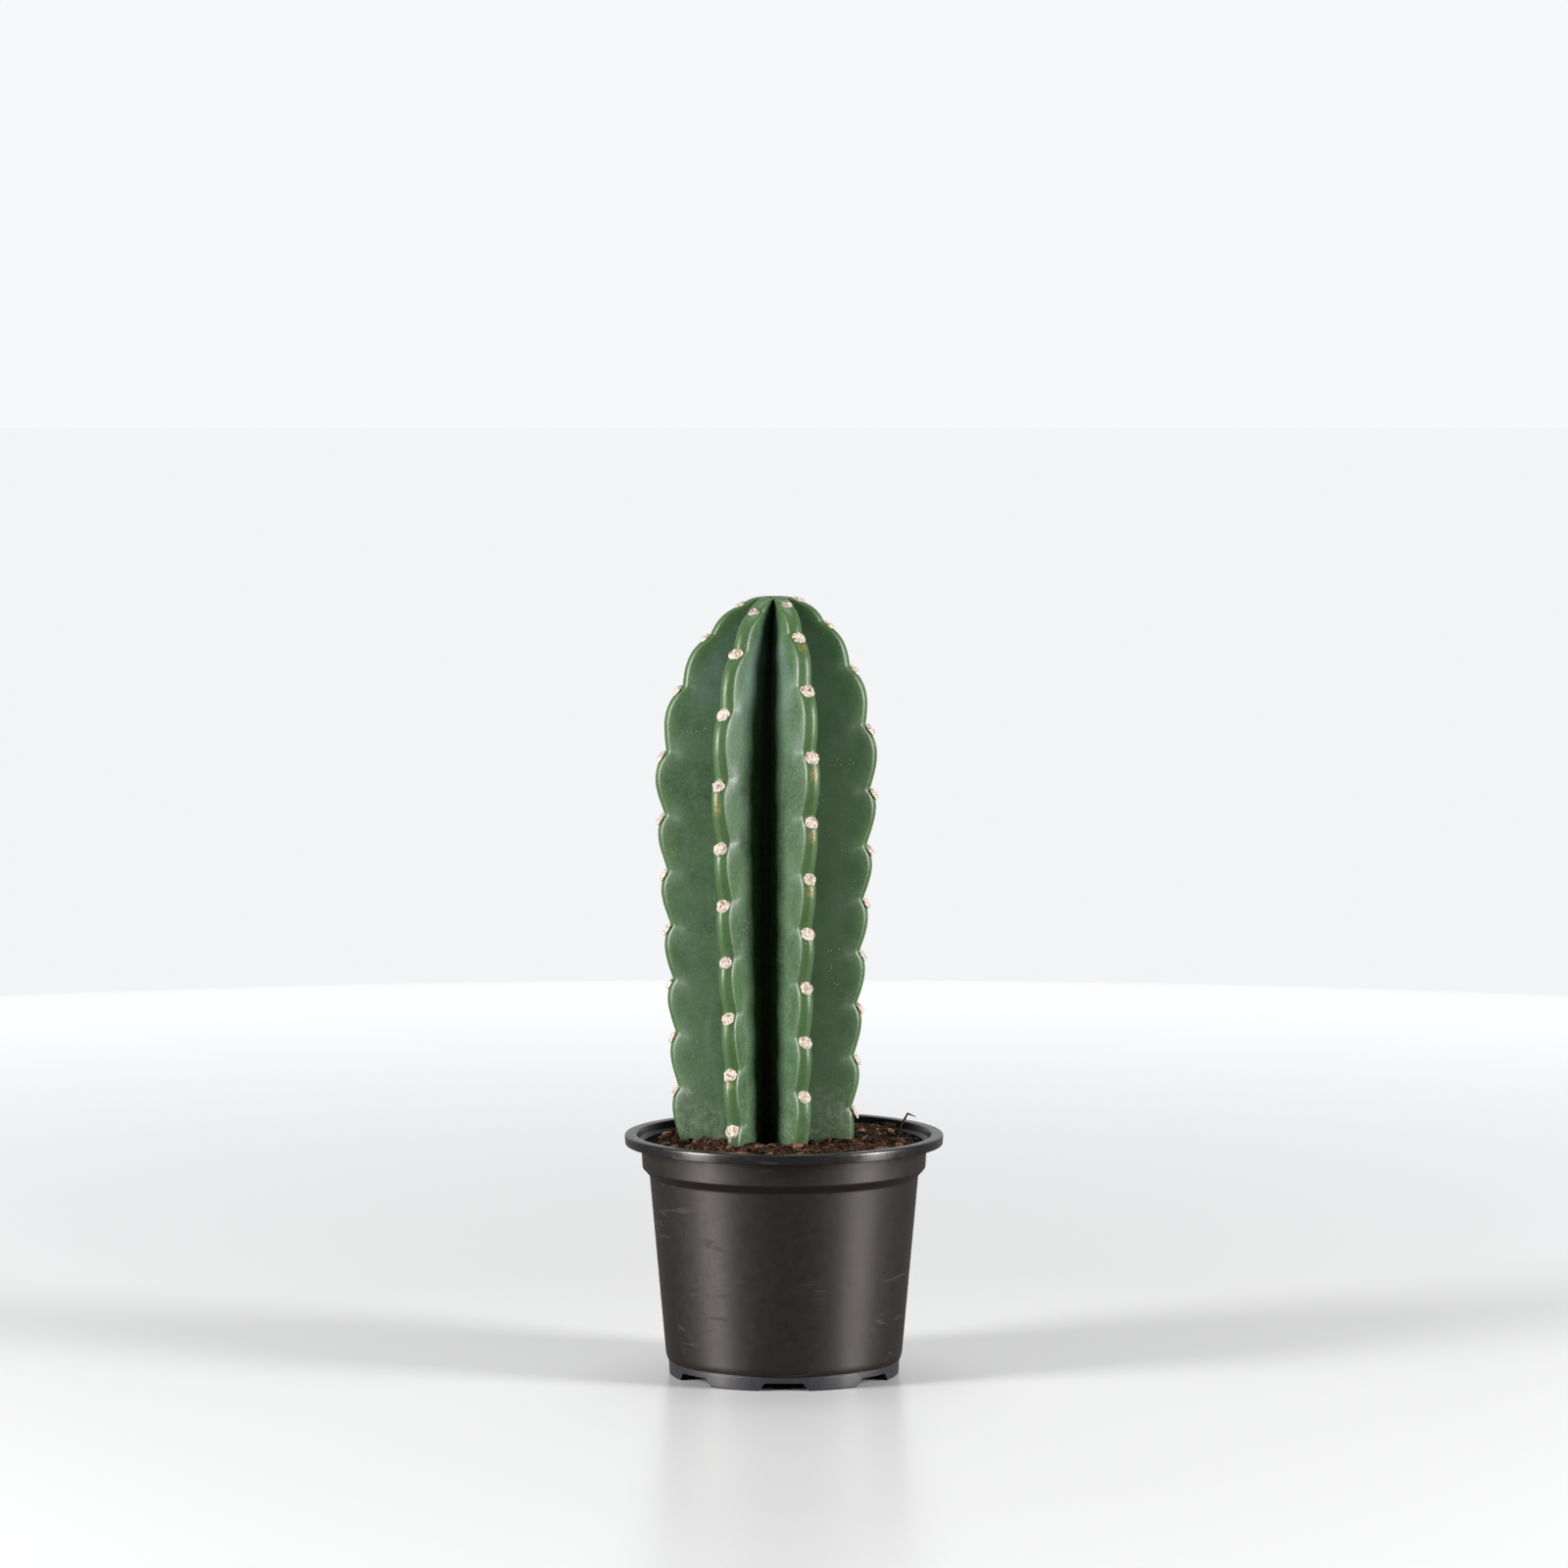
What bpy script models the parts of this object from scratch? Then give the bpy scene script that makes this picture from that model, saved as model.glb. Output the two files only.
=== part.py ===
"""A potted columnar cactus: one ribbed stem, buried to its butt in potting soil, in a black nursery pot.

The pot stands on z = 0 with its axis on the Z axis. -Y is the front. Everything is in metres.
"""

import bisect
import math
import random
from collections import namedtuple

import bmesh
import bpy
from mathutils import Matrix, Vector

MM = 0.001

# ---------------------------------------------------------------- nursery pot
POT_HEIGHT = 121.5 * MM
BODY_BOTTOM_RADIUS = 59.5 * MM
BODY_TOP_RADIUS = 67.6 * MM
BODY_TOP_BELOW_RIM = 20.9 * MM
COLLAR_STEP_OUT = 3.6 * MM
COLLAR_STEP_RISE = 3.9 * MM
COLLAR_FLARE = 0.6 * MM
LIP_SKIRT = 5.3 * MM
LIP_WIDTH = 8.5 * MM
LIP_ROUND = 1.3 * MM
LEDGE_DEPTH = 4.4 * MM
LEDGE_WIDTH = 2.6 * MM
LEDGE_SLOPE = 0.3 * MM
WALL = 1.2 * MM
FLOOR_THICKNESS = 1.4 * MM
FLOOR_CLEARANCE = 5.5 * MM
FOOT_INSET = 1.4 * MM
FOOT_HEIGHT = 7.3 * MM
FOOT_WALL = 3.4 * MM
FOOT_CHAMFER = 0.4 * MM
FOOT_SHADOW_STEP = 0.5 * MM
BODY_BOTTOM_CHAMFER = 2.6 * MM
POT_STEPS = 64

NOTCH_COUNT = 7
NOTCH_HEIGHT = 4.1 * MM
NOTCH_BOTTOM_WIDTH = 25.0 * MM
NOTCH_TOP_WIDTH = 19.0 * MM
NOTCH_OVERCUT = 1.0 * MM
DRAIN_HOLE_RADIUS = 4.0 * MM
DRAIN_HOLE_INSET = 9.5 * MM
CENTRE_HOLE_RADIUS = 6.0 * MM
HOLE_SEGMENTS = 20

# ---------------------------------------------------------------- potting soil
SOIL_BELOW_RIM = 5.9 * MM
SOIL_CROWN = 1.8 * MM
SOIL_LUMPS = 0.45 * MM
SOIL_GAP = 0.4 * MM
SOIL_RINGS = 9
SOIL_STEPS = 60
# Heaps: place, spread along X and along Y, and height.
SOIL_HEAPS = (
    ((-10.0 * MM, -56.0 * MM), (34.0 * MM, 13.0 * MM), 2.4 * MM),
    ((46.0 * MM, 40.0 * MM), (22.0 * MM, 20.0 * MM), 2.6 * MM),
    ((-46.0 * MM, 38.0 * MM), (24.0 * MM, 20.0 * MM), 1.0 * MM),
)

# ---------------------------------------------------------------- cactus stem
STEM_HEIGHT = 276.6 * MM
SHOULDER_BELOW_TIP = 96.5 * MM
SHOULDER_RADIUS = 55.8 * MM
SOIL_LINE_RADIUS = 46.3 * MM
COLUMN_SWELL = 1.3
BURIED_DEPTH = 42.0 * MM
STEM_SIDE_OFFSET = -9.6 * MM
STEM_BACK_OFFSET = 6.0 * MM
STEM_LEAN = 4.8 * MM
STEM_LEAN_LATENESS = 4.5
APEX_DIMPLE = 2.6 * MM
APEX_DIMPLE_RADIUS = 5.0 * MM

CREST_HALF_WIDTH = 4.3 * MM
CREST_TIP_LENGTH = 9.0 * MM
CREST_ROOM = 0.45
TUBERCLE_SWELL = 0.12
FURROW_SHARE = 0.41
FURROW_DROP = 12.0 * MM
FURROW_DROP_LENGTH = 30.0 * MM
FURROW_GROW = 2.0
BUTT_GROW = 1.5
FLANK_BULGE = 1.3 * MM

PITCH_OLD_GROWTH = 27.5 * MM
PITCH_GAIN = 7.0 * MM
PITCH_GAIN_AT = 80.0 * MM
PITCH_GAIN_SPREAD = 40.0 * MM
PITCH_TIP_LOSS = 15.0 * MM
PITCH_TIP_LENGTH = 15.0 * MM
NOTCH_SHARE = 0.13
NOTCH_ABOVE_AREOLE = 0.06
NOTCH_TIP_FADE = 16.0 * MM
BUTT_NOTCH = 0.5
TUBERCLE_PEAK = 0.38
AREOLE_HEIGHT = 1.3 * MM
AREOLES_PER_RIB = 11

# Each rib's azimuths in degrees from the front towards +X at the soil and at the tip, its reach as a
# share of the even crest line, its first areole's distance from the tip, and its areoles' spacing.
Rib = namedtuple("Rib", "foot_azimuth tip_azimuth reach first_areole spacing")
RIBS = (
    Rib(-22.5, -31.0, 0.95, 24.0 * MM, 1.03),
    Rib(28.0, 27.0, 0.95, 17.4 * MM, 0.995),
    Rib(94.0, 87.0, 1.01, 13.2 * MM, 0.965),
    Rib(151.0, 149.0, 0.98, 19.5 * MM, 1.01),
    Rib(209.0, 211.0, 0.97, 14.5 * MM, 0.98),
    Rib(266.0, 273.0, 1.0, 19.0 * MM, 0.995),
)

# Rows of the stem's mesh: shares of the stretch from the tip to the first areole, of each
# stretch between two areoles, and of the buried stretch below the last one.
TIP_ROWS = (0.2, 0.45, 0.7, 0.88)
PERIOD_ROWS = (0.0, 0.11, 0.36, 0.63, 0.89)
BUTT_ROWS = (0.0, 0.12, 0.28, 0.44, 0.6, 0.75, 0.88)
COLUMNS_PER_RIB = 8
FURROW_COLUMN = COLUMNS_PER_RIB // 2

# ---------------------------------------------------------------- loose pieces on the soil
CHIPS_PER_FURROW = 3
CHIP_LENGTH = 7.5 * MM
CHIP_WIDTH = 4.4 * MM
CHIP_THICKNESS = 2.3 * MM
CHIP_GAP = 0.5 * MM
CHIP_SPREAD = 13.0
CHIP_SEED = 11
TWIG_AZIMUTH = 111.0
TWIG_FROM_WALL = 9.5 * MM
TWIG_RADIUS = 0.5 * MM
TWIG_BURIED = 8.0 * MM
TWIG_RISE = Vector((6.4 * MM, 2.0 * MM, 11.6 * MM))
TWIG_HOOK = Vector((4.0 * MM, 1.0 * MM, -1.8 * MM))

RIM_UNDERSIDE = POT_HEIGHT - WALL
BODY_TOP = POT_HEIGHT - BODY_TOP_BELOW_RIM
COLLAR_BOTTOM = BODY_TOP + COLLAR_STEP_RISE
COLLAR_BOTTOM_RADIUS = BODY_TOP_RADIUS + COLLAR_STEP_OUT
COLLAR_TOP_RADIUS = COLLAR_BOTTOM_RADIUS + COLLAR_FLARE
LEDGE = POT_HEIGHT - LEDGE_DEPTH
LEDGE_RADIUS = COLLAR_TOP_RADIUS - WALL + LEDGE_WIDTH
LIP_INNER_RADIUS = LEDGE_RADIUS + WALL
RIM_RADIUS = COLLAR_TOP_RADIUS + LIP_WIDTH
FOOT_RADIUS = BODY_BOTTOM_RADIUS - FOOT_INSET
FLOOR_TOP = FLOOR_CLEARANCE + FLOOR_THICKNESS
BODY_BOTTOM = FOOT_HEIGHT + BODY_BOTTOM_CHAMFER

SOIL_EDGE = POT_HEIGHT - SOIL_BELOW_RIM
SOIL_RADIUS = COLLAR_BOTTOM_RADIUS - WALL - SOIL_GAP
STEM_TIP = SOIL_EDGE + STEM_HEIGHT
SHOULDER = STEM_TIP - SHOULDER_BELOW_TIP
FULL_NOTCH = NOTCH_SHARE * PITCH_OLD_GROWTH
DIAGONAL = math.sqrt(0.5)
ROUND_STEPS = 90


def new_collection(name):
    collection = bpy.data.collections.new(name)
    bpy.context.scene.collection.children.link(collection)
    return collection


def new_object(name, mesh, collection, material=None):
    obj = bpy.data.objects.new(name, mesh)
    collection.objects.link(obj)
    if material:
        obj.data.materials.append(material)
    return obj


def mesh_from(bm, name):
    mesh = bpy.data.meshes.new(name)
    bm.to_mesh(mesh)
    bm.free()
    return mesh


def make_material(name, colour, roughness):
    material = bpy.data.materials.new(name)
    material.use_nodes = True
    shader = material.node_tree.nodes["Principled BSDF"]
    shader.inputs["Base Color"].default_value = (*colour, 1.0)
    shader.inputs["Roughness"].default_value = roughness
    shader.inputs["Metallic"].default_value = 0.0
    return material


def turned(name, profile, steps, collection, material):
    """A solid turned about Z from a profile whose ends lie on the axis."""
    mesh = bpy.data.meshes.new(name)
    edges = [(i, i + 1) for i in range(len(profile) - 1)]
    mesh.from_pydata([(radius, 0.0, height) for radius, height in profile], edges, [])
    obj = new_object(name, mesh, collection, material)
    screw = obj.modifiers.new("turn", "SCREW")
    screw.axis = "Z"
    screw.steps = steps
    screw.render_steps = steps
    screw.use_merge_vertices = True
    screw.merge_threshold = 1e-5
    return obj


def rod(name, low, high, radius, segments, collection):
    """A straight round rod between two points."""
    along = high - low
    place = Matrix.Translation((low + high) / 2) @ along.to_track_quat("Z", "Y").to_matrix().to_4x4()
    bm = bmesh.new()
    bmesh.ops.create_cone(
        bm,
        cap_ends=True,
        segments=segments,
        radius1=radius,
        radius2=radius,
        depth=along.length,
        matrix=place,
    )
    return new_object(name, mesh_from(bm, name), collection)


def applied(obj):
    """The object with its modifiers made part of its mesh."""
    graph = bpy.context.evaluated_depsgraph_get()
    mesh = bpy.data.meshes.new_from_object(obj.evaluated_get(graph))
    obj.modifiers.clear()
    obj.data = mesh
    return obj


def shade_round(obj, sharp_degrees):
    obj.data.shade_smooth()
    obj.data.set_sharp_from_angle(angle=math.radians(sharp_degrees))


def cut(obj, cutter):
    cutter.hide_render = True
    cutter.display_type = "WIRE"
    boolean = obj.modifiers.new(cutter.name, "BOOLEAN")
    boolean.operation = "DIFFERENCE"
    boolean.solver = "EXACT"
    boolean.object = cutter


def direction(azimuth):
    """The level unit vector at an azimuth in degrees, measured from the front (-Y) towards +X."""
    angle = math.radians(azimuth)
    return Vector((math.sin(angle), -math.cos(angle), 0.0))


# ---------------------------------------------------------------- nursery pot
def body_inner_radius(height):
    """The inside radius of the pot's tapered body at a height."""
    share = (height - BODY_BOTTOM) / (BODY_TOP - BODY_BOTTOM)
    return BODY_BOTTOM_RADIUS + (BODY_TOP_RADIUS - BODY_BOTTOM_RADIUS) * share - WALL


def pot_profile():
    """From the floor's centre up the inside, over the lip, down the outside and back under the floor."""
    inside = [
        (0.0, FLOOR_TOP),
        (body_inner_radius(BODY_BOTTOM) - FLOOR_THICKNESS, FLOOR_TOP),
        (body_inner_radius(BODY_BOTTOM), BODY_BOTTOM),
        (BODY_TOP_RADIUS - WALL, BODY_TOP + WALL / 2),
        (COLLAR_BOTTOM_RADIUS - WALL, COLLAR_BOTTOM + WALL / 2),
        (COLLAR_TOP_RADIUS - WALL, LEDGE),
        (LEDGE_RADIUS, LEDGE + LEDGE_SLOPE),
        (LIP_INNER_RADIUS, POT_HEIGHT - LIP_ROUND / 2),
        (LIP_INNER_RADIUS + LIP_ROUND, POT_HEIGHT),
    ]
    lip = [
        (RIM_RADIUS - LIP_ROUND * 1.5, POT_HEIGHT),
        (RIM_RADIUS - LIP_ROUND / 2, POT_HEIGHT - LIP_ROUND / 2),
        (RIM_RADIUS, POT_HEIGHT - LIP_ROUND * 1.5),
        (RIM_RADIUS, POT_HEIGHT - LIP_SKIRT),
        (RIM_RADIUS - WALL, POT_HEIGHT - LIP_SKIRT),
        (RIM_RADIUS - WALL, RIM_UNDERSIDE - LIP_ROUND / 2),
        (RIM_RADIUS - WALL - LIP_ROUND / 2, RIM_UNDERSIDE),
        (LIP_INNER_RADIUS + WALL, RIM_UNDERSIDE),
    ]
    outside = [
        (LEDGE_RADIUS + WALL, LEDGE + LEDGE_SLOPE - WALL),
        (COLLAR_TOP_RADIUS, LEDGE - WALL),
        (COLLAR_BOTTOM_RADIUS, COLLAR_BOTTOM),
        (BODY_TOP_RADIUS, BODY_TOP),
        (BODY_BOTTOM_RADIUS, BODY_BOTTOM),
        (FOOT_RADIUS + FOOT_SHADOW_STEP, FOOT_HEIGHT),
        (FOOT_RADIUS, FOOT_HEIGHT),
        (FOOT_RADIUS, FOOT_CHAMFER),
        (FOOT_RADIUS - FOOT_CHAMFER, 0.0),
        (FOOT_RADIUS - FOOT_WALL, 0.0),
        (FOOT_RADIUS - FOOT_WALL, FLOOR_CLEARANCE),
        (0.0, FLOOR_CLEARANCE),
    ]
    return inside + lip + outside


def notch_cutter(collection):
    """A ring of tapered blocks that cut the drainage notches through the foot ring."""
    flare = (NOTCH_BOTTOM_WIDTH - NOTCH_TOP_WIDTH) / NOTCH_HEIGHT
    low_width = NOTCH_BOTTOM_WIDTH + flare * NOTCH_OVERCUT
    bm = bmesh.new()
    for k in range(NOTCH_COUNT):
        block = bmesh.ops.create_cube(bm, size=1.0)["verts"]
        for vert in block:
            top = vert.co.z > 0
            vert.co.x *= NOTCH_TOP_WIDTH if top else low_width
            vert.co.y = -FOOT_RADIUS + vert.co.y * FOOT_WALL * 3
            vert.co.z = NOTCH_HEIGHT if top else -NOTCH_OVERCUT
        turn = Matrix.Rotation(k * math.tau / NOTCH_COUNT, 4, "Z")
        bmesh.ops.transform(bm, matrix=turn, verts=block)
    return new_object("notch_cutter", mesh_from(bm, "notch_cutter"), collection)


def drain_cutters(collection):
    """Round drain holes through the floor: one behind each notch, and a wider one at the centre."""
    holes = [(Vector(), CENTRE_HOLE_RADIUS)]
    for k in range(NOTCH_COUNT):
        place = direction(k * 360 / NOTCH_COUNT) * (FOOT_RADIUS - DRAIN_HOLE_INSET)
        holes.append((place, DRAIN_HOLE_RADIUS))
    for index, (place, radius) in enumerate(holes):
        low = place + Vector((0.0, 0.0, FLOOR_CLEARANCE - FLOOR_THICKNESS))
        high = place + Vector((0.0, 0.0, FLOOR_TOP + FLOOR_THICKNESS))
        yield rod(f"drain_hole_cutter_{index}", low, high, radius, HOLE_SEGMENTS, collection)


def build_pot(parts, cutters):
    black = make_material("black_plastic", (0.018, 0.017, 0.018), 0.38)
    pot = turned("nursery_pot", pot_profile(), POT_STEPS, parts, black)
    cut(pot, notch_cutter(cutters))
    for cutter in drain_cutters(cutters):
        cut(pot, cutter)
    applied(pot)
    shade_round(pot, 30)


# ---------------------------------------------------------------- cactus stem
def crest_line():
    """(distance, radius, height) down an even crest, from the tip over the dome to the butt."""
    points = []
    for i in range(ROUND_STEPS + 1):
        turn = math.pi / 2 * i / ROUND_STEPS
        points.append((SHOULDER_RADIUS * math.sin(turn), SHOULDER + SHOULDER_BELOW_TIP * math.cos(turn)))
    for i in range(1, ROUND_STEPS + 1):
        share = 1 - i / ROUND_STEPS
        swell = (SHOULDER_RADIUS - SOIL_LINE_RADIUS) * share**COLUMN_SWELL
        points.append((SOIL_LINE_RADIUS + swell, SOIL_EDGE + (SHOULDER - SOIL_EDGE) * share))
    for i in range(1, ROUND_STEPS + 1):
        turn = math.pi / 2 * i / ROUND_STEPS
        points.append((SOIL_LINE_RADIUS * math.cos(turn), SOIL_EDGE - BURIED_DEPTH * math.sin(turn)))
    line = [(0.0, *points[0])]
    for (r0, z0), (r1, z1) in zip(points, points[1:]):
        line.append((line[-1][0] + math.hypot(r1 - r0, z1 - z0), r1, z1))
    return line


CREST_LINE = crest_line()
CREST_LENGTH = CREST_LINE[-1][0]


def crest_at(distance):
    """(radius, height) of an even crest at a distance from the tip, with the sunken growing point."""
    at = bisect.bisect_left(CREST_LINE, (distance,))
    at = min(max(at, 1), len(CREST_LINE) - 1)
    (s0, r0, z0), (s1, r1, z1) = CREST_LINE[at - 1], CREST_LINE[at]
    share = (distance - s0) / (s1 - s0)
    radius = r0 + (r1 - r0) * share
    height = z0 + (z1 - z0) * share
    dimple = APEX_DIMPLE * math.exp(-((radius / APEX_DIMPLE_RADIUS) ** 2))
    return radius, height - dimple if height > SHOULDER else height


def pitch_at(distance):
    """The spacing of the areoles at a distance from the tip: widest in the last season's growth."""
    gain = PITCH_GAIN * math.exp(-(((distance - PITCH_GAIN_AT) / PITCH_GAIN_SPREAD) ** 2))
    return PITCH_OLD_GROWTH + gain - PITCH_TIP_LOSS * math.exp(-distance / PITCH_TIP_LENGTH)


def areoles_of(rib):
    """The distance of each of a rib's areoles from the tip."""
    found = [rib.first_areole]
    while len(found) < AREOLES_PER_RIB:
        found.append(found[-1] + rib.spacing * pitch_at(found[-1]))
    return found


def rows_of(rib):
    """The distances of a rib's mesh rows from the tip, which follow its own areoles."""
    areoles = areoles_of(rib)
    rows = [0.0] + [areoles[0] * share for share in TIP_ROWS]
    for above, below in zip(areoles, areoles[1:]):
        rows += [above + (below - above) * share for share in PERIOD_ROWS]
    rows += [areoles[-1] + (CREST_LENGTH - areoles[-1]) * share for share in BUTT_ROWS]
    return rows + [CREST_LENGTH]


def notch_depth(rib, distance):
    """How far a rib's crest dips below the even crest line, deepest just above each areole."""
    areoles = areoles_of(rib)
    at = bisect.bisect_right(areoles, distance)
    if at == len(areoles):
        left = (CREST_LENGTH - distance) / (CREST_LENGTH - areoles[-1])
        return FULL_NOTCH * BUTT_NOTCH * left
    above = areoles[at - 1] if at else areoles[0] - rib.spacing * pitch_at(0.0)
    pitch = areoles[at] - above
    phase = ((distance - above) / pitch + NOTCH_ABOVE_AREOLE) % 1.0
    swell = math.sin(math.pi * phase ** (math.log(0.5) / math.log(TUBERCLE_PEAK)))
    tip_fade = min(1.0, distance / NOTCH_TIP_FADE)
    return NOTCH_SHARE * pitch * (1 - swell) * tip_fade


def rib_azimuth(rib, height):
    """The azimuth that a rib has at a height, since the ribs are slightly twisted."""
    share = min(1.0, max(0.0, (height - SOIL_EDGE) / STEM_HEIGHT))
    return rib.foot_azimuth + (rib.tip_azimuth - rib.foot_azimuth) * share


def furrow_azimuth(index, height):
    """The azimuth halfway between a rib and the next one at a height."""
    first = rib_azimuth(RIBS[index], height)
    after = rib_azimuth(RIBS[(index + 1) % len(RIBS)], height)
    return first + ((after - first) % 360) / 2


def furrow_point(index, distance, grow):
    """The bottom of the furrow behind a rib, as a point about the stem's own axis."""
    radius, height = crest_at(distance)
    reach = distance / FURROW_DROP_LENGTH
    drop = FURROW_DROP * reach * math.exp(1 - reach)
    out = radius * FURROW_SHARE + grow * FURROW_GROW * min(1.0, radius / CREST_HALF_WIDTH)
    return direction(furrow_azimuth(index, height)) * out + Vector((0.0, 0.0, height - drop))


def rib_point(rib, distance, column, side, furrow, grow):
    """A point of a rib: column 0 is its crest, 1 and 2 its rounded edge and 3 the middle of its flank."""
    radius, height = crest_at(distance)
    outward = direction(rib_azimuth(rib, height))
    across = direction(rib_azimuth(rib, height) + 90) * side
    dip = notch_depth(rib, distance)
    crest = max(radius * rib.reach - dip * min(1.0, 2 * radius / SOIL_LINE_RADIUS), 0.0)
    half = CREST_HALF_WIDTH * (1 - math.exp(-distance / CREST_TIP_LENGTH))
    if height < SOIL_EDGE:
        half *= radius / SOIL_LINE_RADIUS
    half *= 1 + TUBERCLE_SWELL * (1 - 2 * dip / FULL_NOTCH)
    half = min(half, crest * CREST_ROOM)
    centre = outward * (crest - half) + Vector((0.0, 0.0, height))
    edge = half + grow
    if column == 0:
        on_areole = min(abs(distance - areole) for areole in areoles_of(rib)) < AREOLE_HEIGHT / 4
        return centre + outward * (edge + AREOLE_HEIGHT * on_areole)
    if column == 1:
        return centre + (outward + across) * edge * DIAGONAL
    shoulder = centre + across * edge
    if column == 2:
        return shoulder
    bulge = FLANK_BULGE * min(1.0, crest / SOIL_LINE_RADIUS) + grow / 2
    return shoulder.lerp(furrow, 0.5) + across * bulge


def stem_axis(height):
    """Where the stem's axis is at a height: off centre, with its tip leaning back over the middle."""
    share = max(0.0, (height - SOIL_EDGE) / STEM_HEIGHT)
    lean = STEM_LEAN * share**STEM_LEAN_LATENESS
    return Vector((STEM_SIDE_OFFSET + lean, STEM_BACK_OFFSET, 0.0))


def stem_mesh(name, grow):
    """The ribbed stem, grown outwards by a margin: a sphere whose meridians become crests and furrows."""
    rows = [rows_of(rib) for rib in RIBS]
    row_count = len(rows[0]) - 1
    columns = COLUMNS_PER_RIB * len(RIBS)
    bm = bmesh.new()
    bmesh.ops.create_uvsphere(bm, u_segments=columns, v_segments=row_count, radius=1.0)
    for vert in bm.verts:
        row = round(math.acos(max(-1.0, min(1.0, vert.co.z))) / math.pi * row_count)
        column = round(math.atan2(vert.co.x, -vert.co.y) / math.tau * columns) % columns
        this, part = divmod(column, COLUMNS_PER_RIB)
        after = (this + 1) % len(RIBS)
        if row in (0, row_count):
            _, height = crest_at(rows[0][row])
            vert.co = Vector((0.0, 0.0, height))
        else:
            between = (rows[this][row] + rows[after][row]) / 2
            furrow = furrow_point(this, between, grow)
            if part == FURROW_COLUMN:
                vert.co = furrow
            elif part < FURROW_COLUMN:
                vert.co = rib_point(RIBS[this], rows[this][row], part, 1, furrow, grow)
            else:
                part = COLUMNS_PER_RIB - part
                vert.co = rib_point(RIBS[after], rows[after][row], part, -1, furrow, grow)
        buried = max(0.0, (SOIL_EDGE - vert.co.z) / BURIED_DEPTH)
        vert.co += stem_axis(vert.co.z)
        vert.co.z -= grow * buried * BUTT_GROW
    bmesh.ops.triangulate(bm, faces=bm.faces, quad_method="FIXED")
    bmesh.ops.recalc_face_normals(bm, faces=bm.faces)
    return mesh_from(bm, name)


def build_stem(parts):
    green = make_material("green_skin", (0.055, 0.125, 0.05), 0.42)
    stem = new_object("cactus_stem", stem_mesh("cactus_stem", 0.0), parts, green)
    shade_round(stem, 60)


# ---------------------------------------------------------------- potting soil
def soil_height(x, y):
    """The soil's surface: lowest at the wall, heaped in places, and a little lumpy."""
    across = min(1.0, math.hypot(x, y) / SOIL_RADIUS)
    raised = SOIL_LUMPS * math.sin(x * 310 + 1.3) * math.cos(y * 270 + 0.4)
    for (heap_x, heap_y), (spread_x, spread_y), height in SOIL_HEAPS:
        raised += height * math.exp(-(((x - heap_x) / spread_x) ** 2) - ((y - heap_y) / spread_y) ** 2)
    return SOIL_EDGE + SOIL_CROWN * (1 - across**2) + raised * (1 - across**8)


def soil_profile():
    """From the surface's centre to the wall, down the inside of the pot and back under to the axis."""
    surface = [(SOIL_RADIUS * i / SOIL_RINGS, SOIL_EDGE) for i in range(SOIL_RINGS + 1)]
    clear_of_step = WALL / 2 + SOIL_GAP
    below = [
        (SOIL_RADIUS, COLLAR_BOTTOM + clear_of_step),
        (BODY_TOP_RADIUS - WALL - SOIL_GAP, BODY_TOP + clear_of_step),
        (body_inner_radius(BODY_BOTTOM) - SOIL_GAP, BODY_BOTTOM + SOIL_GAP),
        (body_inner_radius(BODY_BOTTOM) - FLOOR_THICKNESS - SOIL_GAP, FLOOR_TOP + SOIL_GAP),
        (0.0, FLOOR_TOP + SOIL_GAP),
    ]
    return surface + below


def build_soil(parts, cutters):
    brown = make_material("dark_soil", (0.045, 0.022, 0.012), 0.95)
    soil = applied(turned("potting_soil", soil_profile(), SOIL_STEPS, parts, brown))
    for vert in soil.data.vertices:
        if vert.co.z > SOIL_EDGE - SOIL_GAP:
            vert.co.z = soil_height(vert.co.x, vert.co.y)
    pocket = new_object("stem_pocket", stem_mesh("stem_pocket", SOIL_GAP), cutters)
    buried, foot, kink, _ = twig_route()
    beyond = (foot - buried).normalized() * SOIL_GAP
    high = foot.lerp(kink, 0.5)
    twig_pocket = rod("twig_pocket", buried - beyond, high, TWIG_RADIUS + SOIL_GAP, 10, cutters)
    cut(soil, pocket)
    cut(soil, twig_pocket)
    applied(soil)
    shade_round(soil, 40)


# ---------------------------------------------------------------- loose pieces on the soil
def near_wall(origin, azimuth, inset):
    """The point in a direction from an origin that lies a distance inside the soil's edge."""
    along = direction(azimuth)
    back = -origin.dot(along)
    reach = (SOIL_RADIUS - inset) ** 2 - origin.length_squared
    return origin + along * (back + math.sqrt(back**2 + reach))


def twig_route():
    """The points that the dry twig follows, from its buried end over its kink to its tip."""
    foot = near_wall(Vector(), TWIG_AZIMUTH, TWIG_FROM_WALL)
    foot.z = soil_height(foot.x, foot.y)
    kink = foot + TWIG_RISE
    buried = foot - TWIG_RISE.normalized() * TWIG_BURIED
    return buried, foot, kink, kink + TWIG_HOOK


def build_twig(parts):
    curve = bpy.data.curves.new("dry_twig", "CURVE")
    curve.dimensions = "3D"
    curve.bevel_depth = TWIG_RADIUS
    curve.bevel_resolution = 1
    curve.use_fill_caps = True
    curve.materials.append(make_material("dry_bark", (0.05, 0.025, 0.015), 0.8))
    buried, foot, kink, tip = twig_route()
    route = (
        (buried, 1.0),
        (foot, 0.95),
        (foot.lerp(kink, 0.5), 0.85),
        (kink, 0.75),
        (kink.lerp(tip, 0.15), 0.7),
        (tip, 0.5),
    )
    spline = curve.splines.new("POLY")
    spline.points.add(len(route) - 1)
    for point, (place, thickness) in zip(spline.points, route):
        point.co = (*place, 1.0)
        point.radius = thickness
    new_object("dry_twig", curve, parts)


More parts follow.
